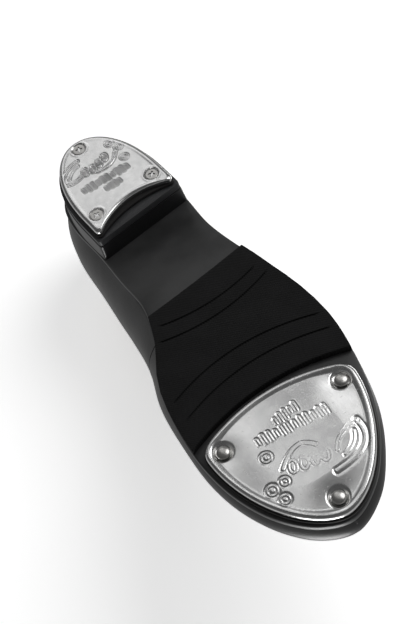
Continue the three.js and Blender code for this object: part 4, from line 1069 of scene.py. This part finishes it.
# hook pad and loop pad: woven tape with a dense nap
nap_finish, at = finish("hook_and_loop")
tufts = at.cells(0.55)
fuzz = at.noise(0.3, 3)
at.surface(Base_Color=fuzz.mix((0.006, 0.006, 0.006), (0.03, 0.03, 0.031)), Roughness=0.85 + 0.1 * fuzz,
           Normal=((1 - tufts) * 0.7 + fuzz * 0.3).bump(0.4))
pad_q = np.linspace(-0.7, -0.805, 24)
pad_t = np.linspace(STRAP_FROM + 0.09, STRAP_TO - 0.09, 24)
for name, low, high, node, body in (("loop_pad", FIT, FIT + 0.8, "loop_patch", "shoe"),
                                    ("hook_pad", 2 * FIT + 0.8, 2 * FIT + 1.55, "hook_patch", "strap")):
    x, y = np.meshgrid(pad_q, pad_t, indexing="ij")
    points, faces = sheet(skin(y, x, high), skin(y, x, low))
    round_rim(make_piece(name, points, faces, nap_finish, "hook_loop", [node], body=body, crease=45), 0.2)

# ==================== inside ====================
# Under the foot: a cushioned sock with a cloth cover over the insole board, and beneath it the cork
# filler, the steel shank, the heel nails and the washers that the rivets are clenched over.
INSOLE_THICK, SOCK_THICK = 2.0, 3.0
MARGIN_STACK = FIT * 3 + UPPER_THICK + LINING_THICK
sock_finish, at = finish("sock_cover")
weft = at.stretched((1, 1, 1), (0, 0, 0.5)).cells(0.75, "DISTANCE_TO_EDGE", 0.25)
cloud = at.noise(18, 4)
at.surface(Base_Color=cloud.mix((0.05, 0.048, 0.046), (0.075, 0.072, 0.068)), Roughness=0.86 + 0.08 * cloud,
           Normal=weft.between(0, 0.3).bump(0.12))
near_end = np.array([0.02, 0.05, 0.1, 0.18])
rows_t = np.concatenate([near_end, np.linspace(0.3, STATIONS - 0.3, 110), STATIONS - near_end[::-1]])
cols = 0.5 - 0.5 * np.cos(np.linspace(0, math.pi, 33))
t, y = np.meshgrid(rows_t, cols, indexing="ij")
inset = FEATHER_INSET + lining_depth(t, 1.0) + LINING_THICK + FIT + 1.5
outer, inner = edge(-1, t, inset), edge(1, t, inset)
plan = outer * (1 - y[..., None]) + inner * y[..., None]
gap = np.minimum(np.linalg.norm(plan - outer, axis=-1), np.linalg.norm(plan - inner, axis=-1))
from_end = np.minimum(plan[..., 0] - plan[..., 0].min(), plan[..., 0].max() - plan[..., 0])
gap = np.minimum(gap, from_end)
sock_low = sole_under(plan[..., 0]) + SOLE_THICK + MARGIN_STACK + 0.35 + INSOLE_THICK + 0.9
puffed = SOCK_THICK * (0.45 + 0.55 * (1 - np.clip(1 - gap / 3.5, 0, 1) ** 2.2))
puffed += 0.5 * smooth(gap, 3, 14) * (1 - smooth(plan[..., 0], 60, 90))
puffed -= 0.6 * smooth(gap, 9, 18) * (1 - smooth(plan[..., 0], 45, 70))
points, faces = sheet(np.concatenate([plan, (sock_low + puffed)[..., None]], -1),
                      np.concatenate([plan, sock_low[..., None]], -1))
sock_piece = make_piece("sock_pad", points, faces, sock_finish, "sock", ["sock_cushion"], crease=60)

cork_finish, at = finish("cork_filler")
crumb, cloud = at.cells(2.2), at.noise(6, 3)
at.surface(Base_Color=crumb.mix((0.16, 0.09, 0.045), (0.34, 0.21, 0.11)), Roughness=0.85 + 0.1 * cloud,
           Normal=crumb.bump(0.2))
fibre_finish, at = finish("insole_fibre_board")
flecks, cloud = at.noise(0.8, 4), at.noise(10, 3)
at.surface(Base_Color=flecks.mix((0.2, 0.15, 0.1), (0.32, 0.25, 0.17)), Roughness=0.82 + 0.1 * cloud,
           Normal=flecks.bump(0.08))
stiff_finish, at = finish("stiffener")
flecks, cloud = at.noise(0.5, 3), at.noise(8, 3)
at.surface(Base_Color=flecks.mix((0.42, 0.39, 0.33), (0.54, 0.5, 0.43)), Roughness=0.78 + 0.1 * cloud,
           Normal=flecks.bump(0.06))
inside_finish = {"bottom_filler": cork_finish, "insole_board": fibre_finish, "toe_puff": stiff_finish,
                 "heel_counter": stiff_finish, "shank": rivet_finish, "heel_fixing_screw": rivet_finish}
inside_finish.update({f"heel_nail_{n}": rivet_finish for n in ("rear", "inner", "outer", "front")})
inside_finish.update({f"rivet_washer_{n}": rivet_finish for n in ("inner", "outer", "front")})
for node, look in inside_finish.items():
    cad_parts[node].material_slots[0].material = look

# ==================== studio ====================
# White sheets above and below, seen from one side only: the shoe lies upturned under the upper one for
# the main view and stands on the lower one for the others. Large soft lamps light both sides.
bpy.context.scene.view_settings.view_transform = "Standard"
SHEET_GLOW = 0.5
UPPER_WHITE, LOWER_WHITE = 1.95, 1.5    # how brightly each sheet takes the light that falls on it


def paper(name, centre, normal, fade, white):
    """A white sheet seen only from the side its normal points to, fading out at its edge."""
    material, at = finish(name)
    mesh = bpy.data.meshes.new(name)
    size = fade * 1.6
    corners = [(-size, -size, 0), (size, -size, 0), (size, size, 0), (-size, size, 0)]
    mesh.from_pydata(corners, [], [(0, 1, 2, 3)])
    mesh.materials.append(material)
    sheet_object = bpy.data.objects.new(name, mesh)
    sheet_object.location = centre
    sheet_object.rotation_mode = "QUATERNION"
    sheet_object.rotation_quaternion = Vector(normal).to_track_quat("Z", "Y")
    bpy.context.scene.collection.objects.link(sheet_object)
    matt = at.node("BsdfDiffuse", {}, {"Color": (white, white, white, 1)})
    glowing = at.node("Emission", {}, {"Color": (1, 1, 1, 1), "Strength": SHEET_GLOW})
    rough = at.node("AddShader", {}, {0: matt, 1: glowing})
    clear = at.node("BsdfTransparent", {}, {})
    away = at.node("NewGeometry", {}, {}, out="Backfacing")
    from_middle = at.node("VectorMath", {"operation": "LENGTH"}, {0: at}, out="Value")
    hidden = away.maths("MAXIMUM", from_middle.between(fade * 0.6, fade))
    mixed = at.node("MixShader", {}, {0: hidden, 1: rough, 2: clear})
    output = next(n for n in at.tree.nodes if n.type == "OUTPUT_MATERIAL")
    at.tree.links.new(mixed.socket, output.inputs["Surface"])
    for ray in ("diffuse", "glossy", "transmission", "shadow"):
        setattr(sheet_object, f"visible_{ray}", False)
    return sheet_object


low_corner, high_corner = cad_box
middle = (low_corner + high_corner) / 2
lean = math.radians(12.5)
paper("upper_sheet", (middle.x, high_corner.y, high_corner.z + 0.001),
      (0, -math.sin(lean), -math.cos(lean)), 0.6, UPPER_WHITE)
paper("lower_sheet", (middle.x, middle.y, low_corner.z - 0.0005), (0, 0, 1), 1.2, LOWER_WHITE)


def lamp(name, direction, reach, size, power):
    """A round soft lamp that lights the middle of the shoe from a direction."""
    light = bpy.data.lights.new(name, "AREA")
    light.shape, light.size, light.energy = "DISK", size, power
    holder = bpy.data.objects.new(name, light)
    direction = Vector(direction).normalized()
    holder.location = middle + direction * reach
    holder.rotation_mode = "QUATERNION"
    holder.rotation_quaternion = direction.to_track_quat("Z", "Y")
    bpy.context.scene.collection.objects.link(holder)
    return holder


lamp("key_under", (-0.6, 0.0, -0.80), 0.9, 0.6, 2.4)
lamp("key_over", (0.45, -0.5, 0.85), 1.1, 0.7, 7)
lamp("fill_over", (-0.8, 0.5, 0.55), 1.1, 0.7, 4)

world = bpy.data.worlds.new("studio")
bpy.context.scene.world = world
world.use_nodes = True
sky = world.node_tree
for n in list(sky.nodes):
    sky.nodes.remove(n)
direction = Tone(sky, sky.nodes.new("ShaderNodeTexCoord").outputs["Generated"])


def gleam(heading, start, full):
    """1 near a heading of the sky, 0 away from it; start and full are angles from it in degrees."""
    dot = direction.node("VectorMath", {"operation": "DOT_PRODUCT"},
                         {0: direction, 1: tuple(Vector(heading).normalized())}, out="Value")
    return dot.between(math.cos(math.radians(start)), math.cos(math.radians(full)))


height = direction.node("SeparateXYZ", {}, {0: direction}, out="Z")
under = 1 - height.between(-0.5, 0.1)
OVER_LEVEL, UNDER_LEVEL = 0.42, 0.08    # glow of the sky above and below the horizon
glow = UNDER_LEVEL
# white panels below the horizon: heading, angles where each begins and is full, and strength
for heading, start, full, strength in [
        ((-0.18, 0.66, -0.72), 30, 16, 0.06), ((-0.15, 0.74, -0.66), 15, 9, 0.6),
        ((-0.24, 0.7, -0.67), 6, 2.5, 0.5), ((-0.06, 0.5, -0.864), 6, 2.5, 1.1),
        ((-0.31, 0.43, -0.85), 6, 2.5, 1.6), ((-0.09, 0.34, -0.935), 6, 2.5, 1.0)]:
    glow = glow + strength * gleam(heading, start, full)
level = (1 - under) * OVER_LEVEL + under * glow
lit = direction.node("Background", {}, {"Color": (1, 1, 1, 1), "Strength": level})
plain = direction.node("Background", {}, {"Color": (1, 1, 1, 1), "Strength": 1.0})
seen = direction.node("LightPath", {}, {}, out="Is Camera Ray")
both = direction.node("MixShader", {}, {0: seen, 1: lit, 2: plain})
world_out = sky.nodes.new("ShaderNodeOutputWorld")
sky.links.new(both.socket, world_out.inputs["Surface"])
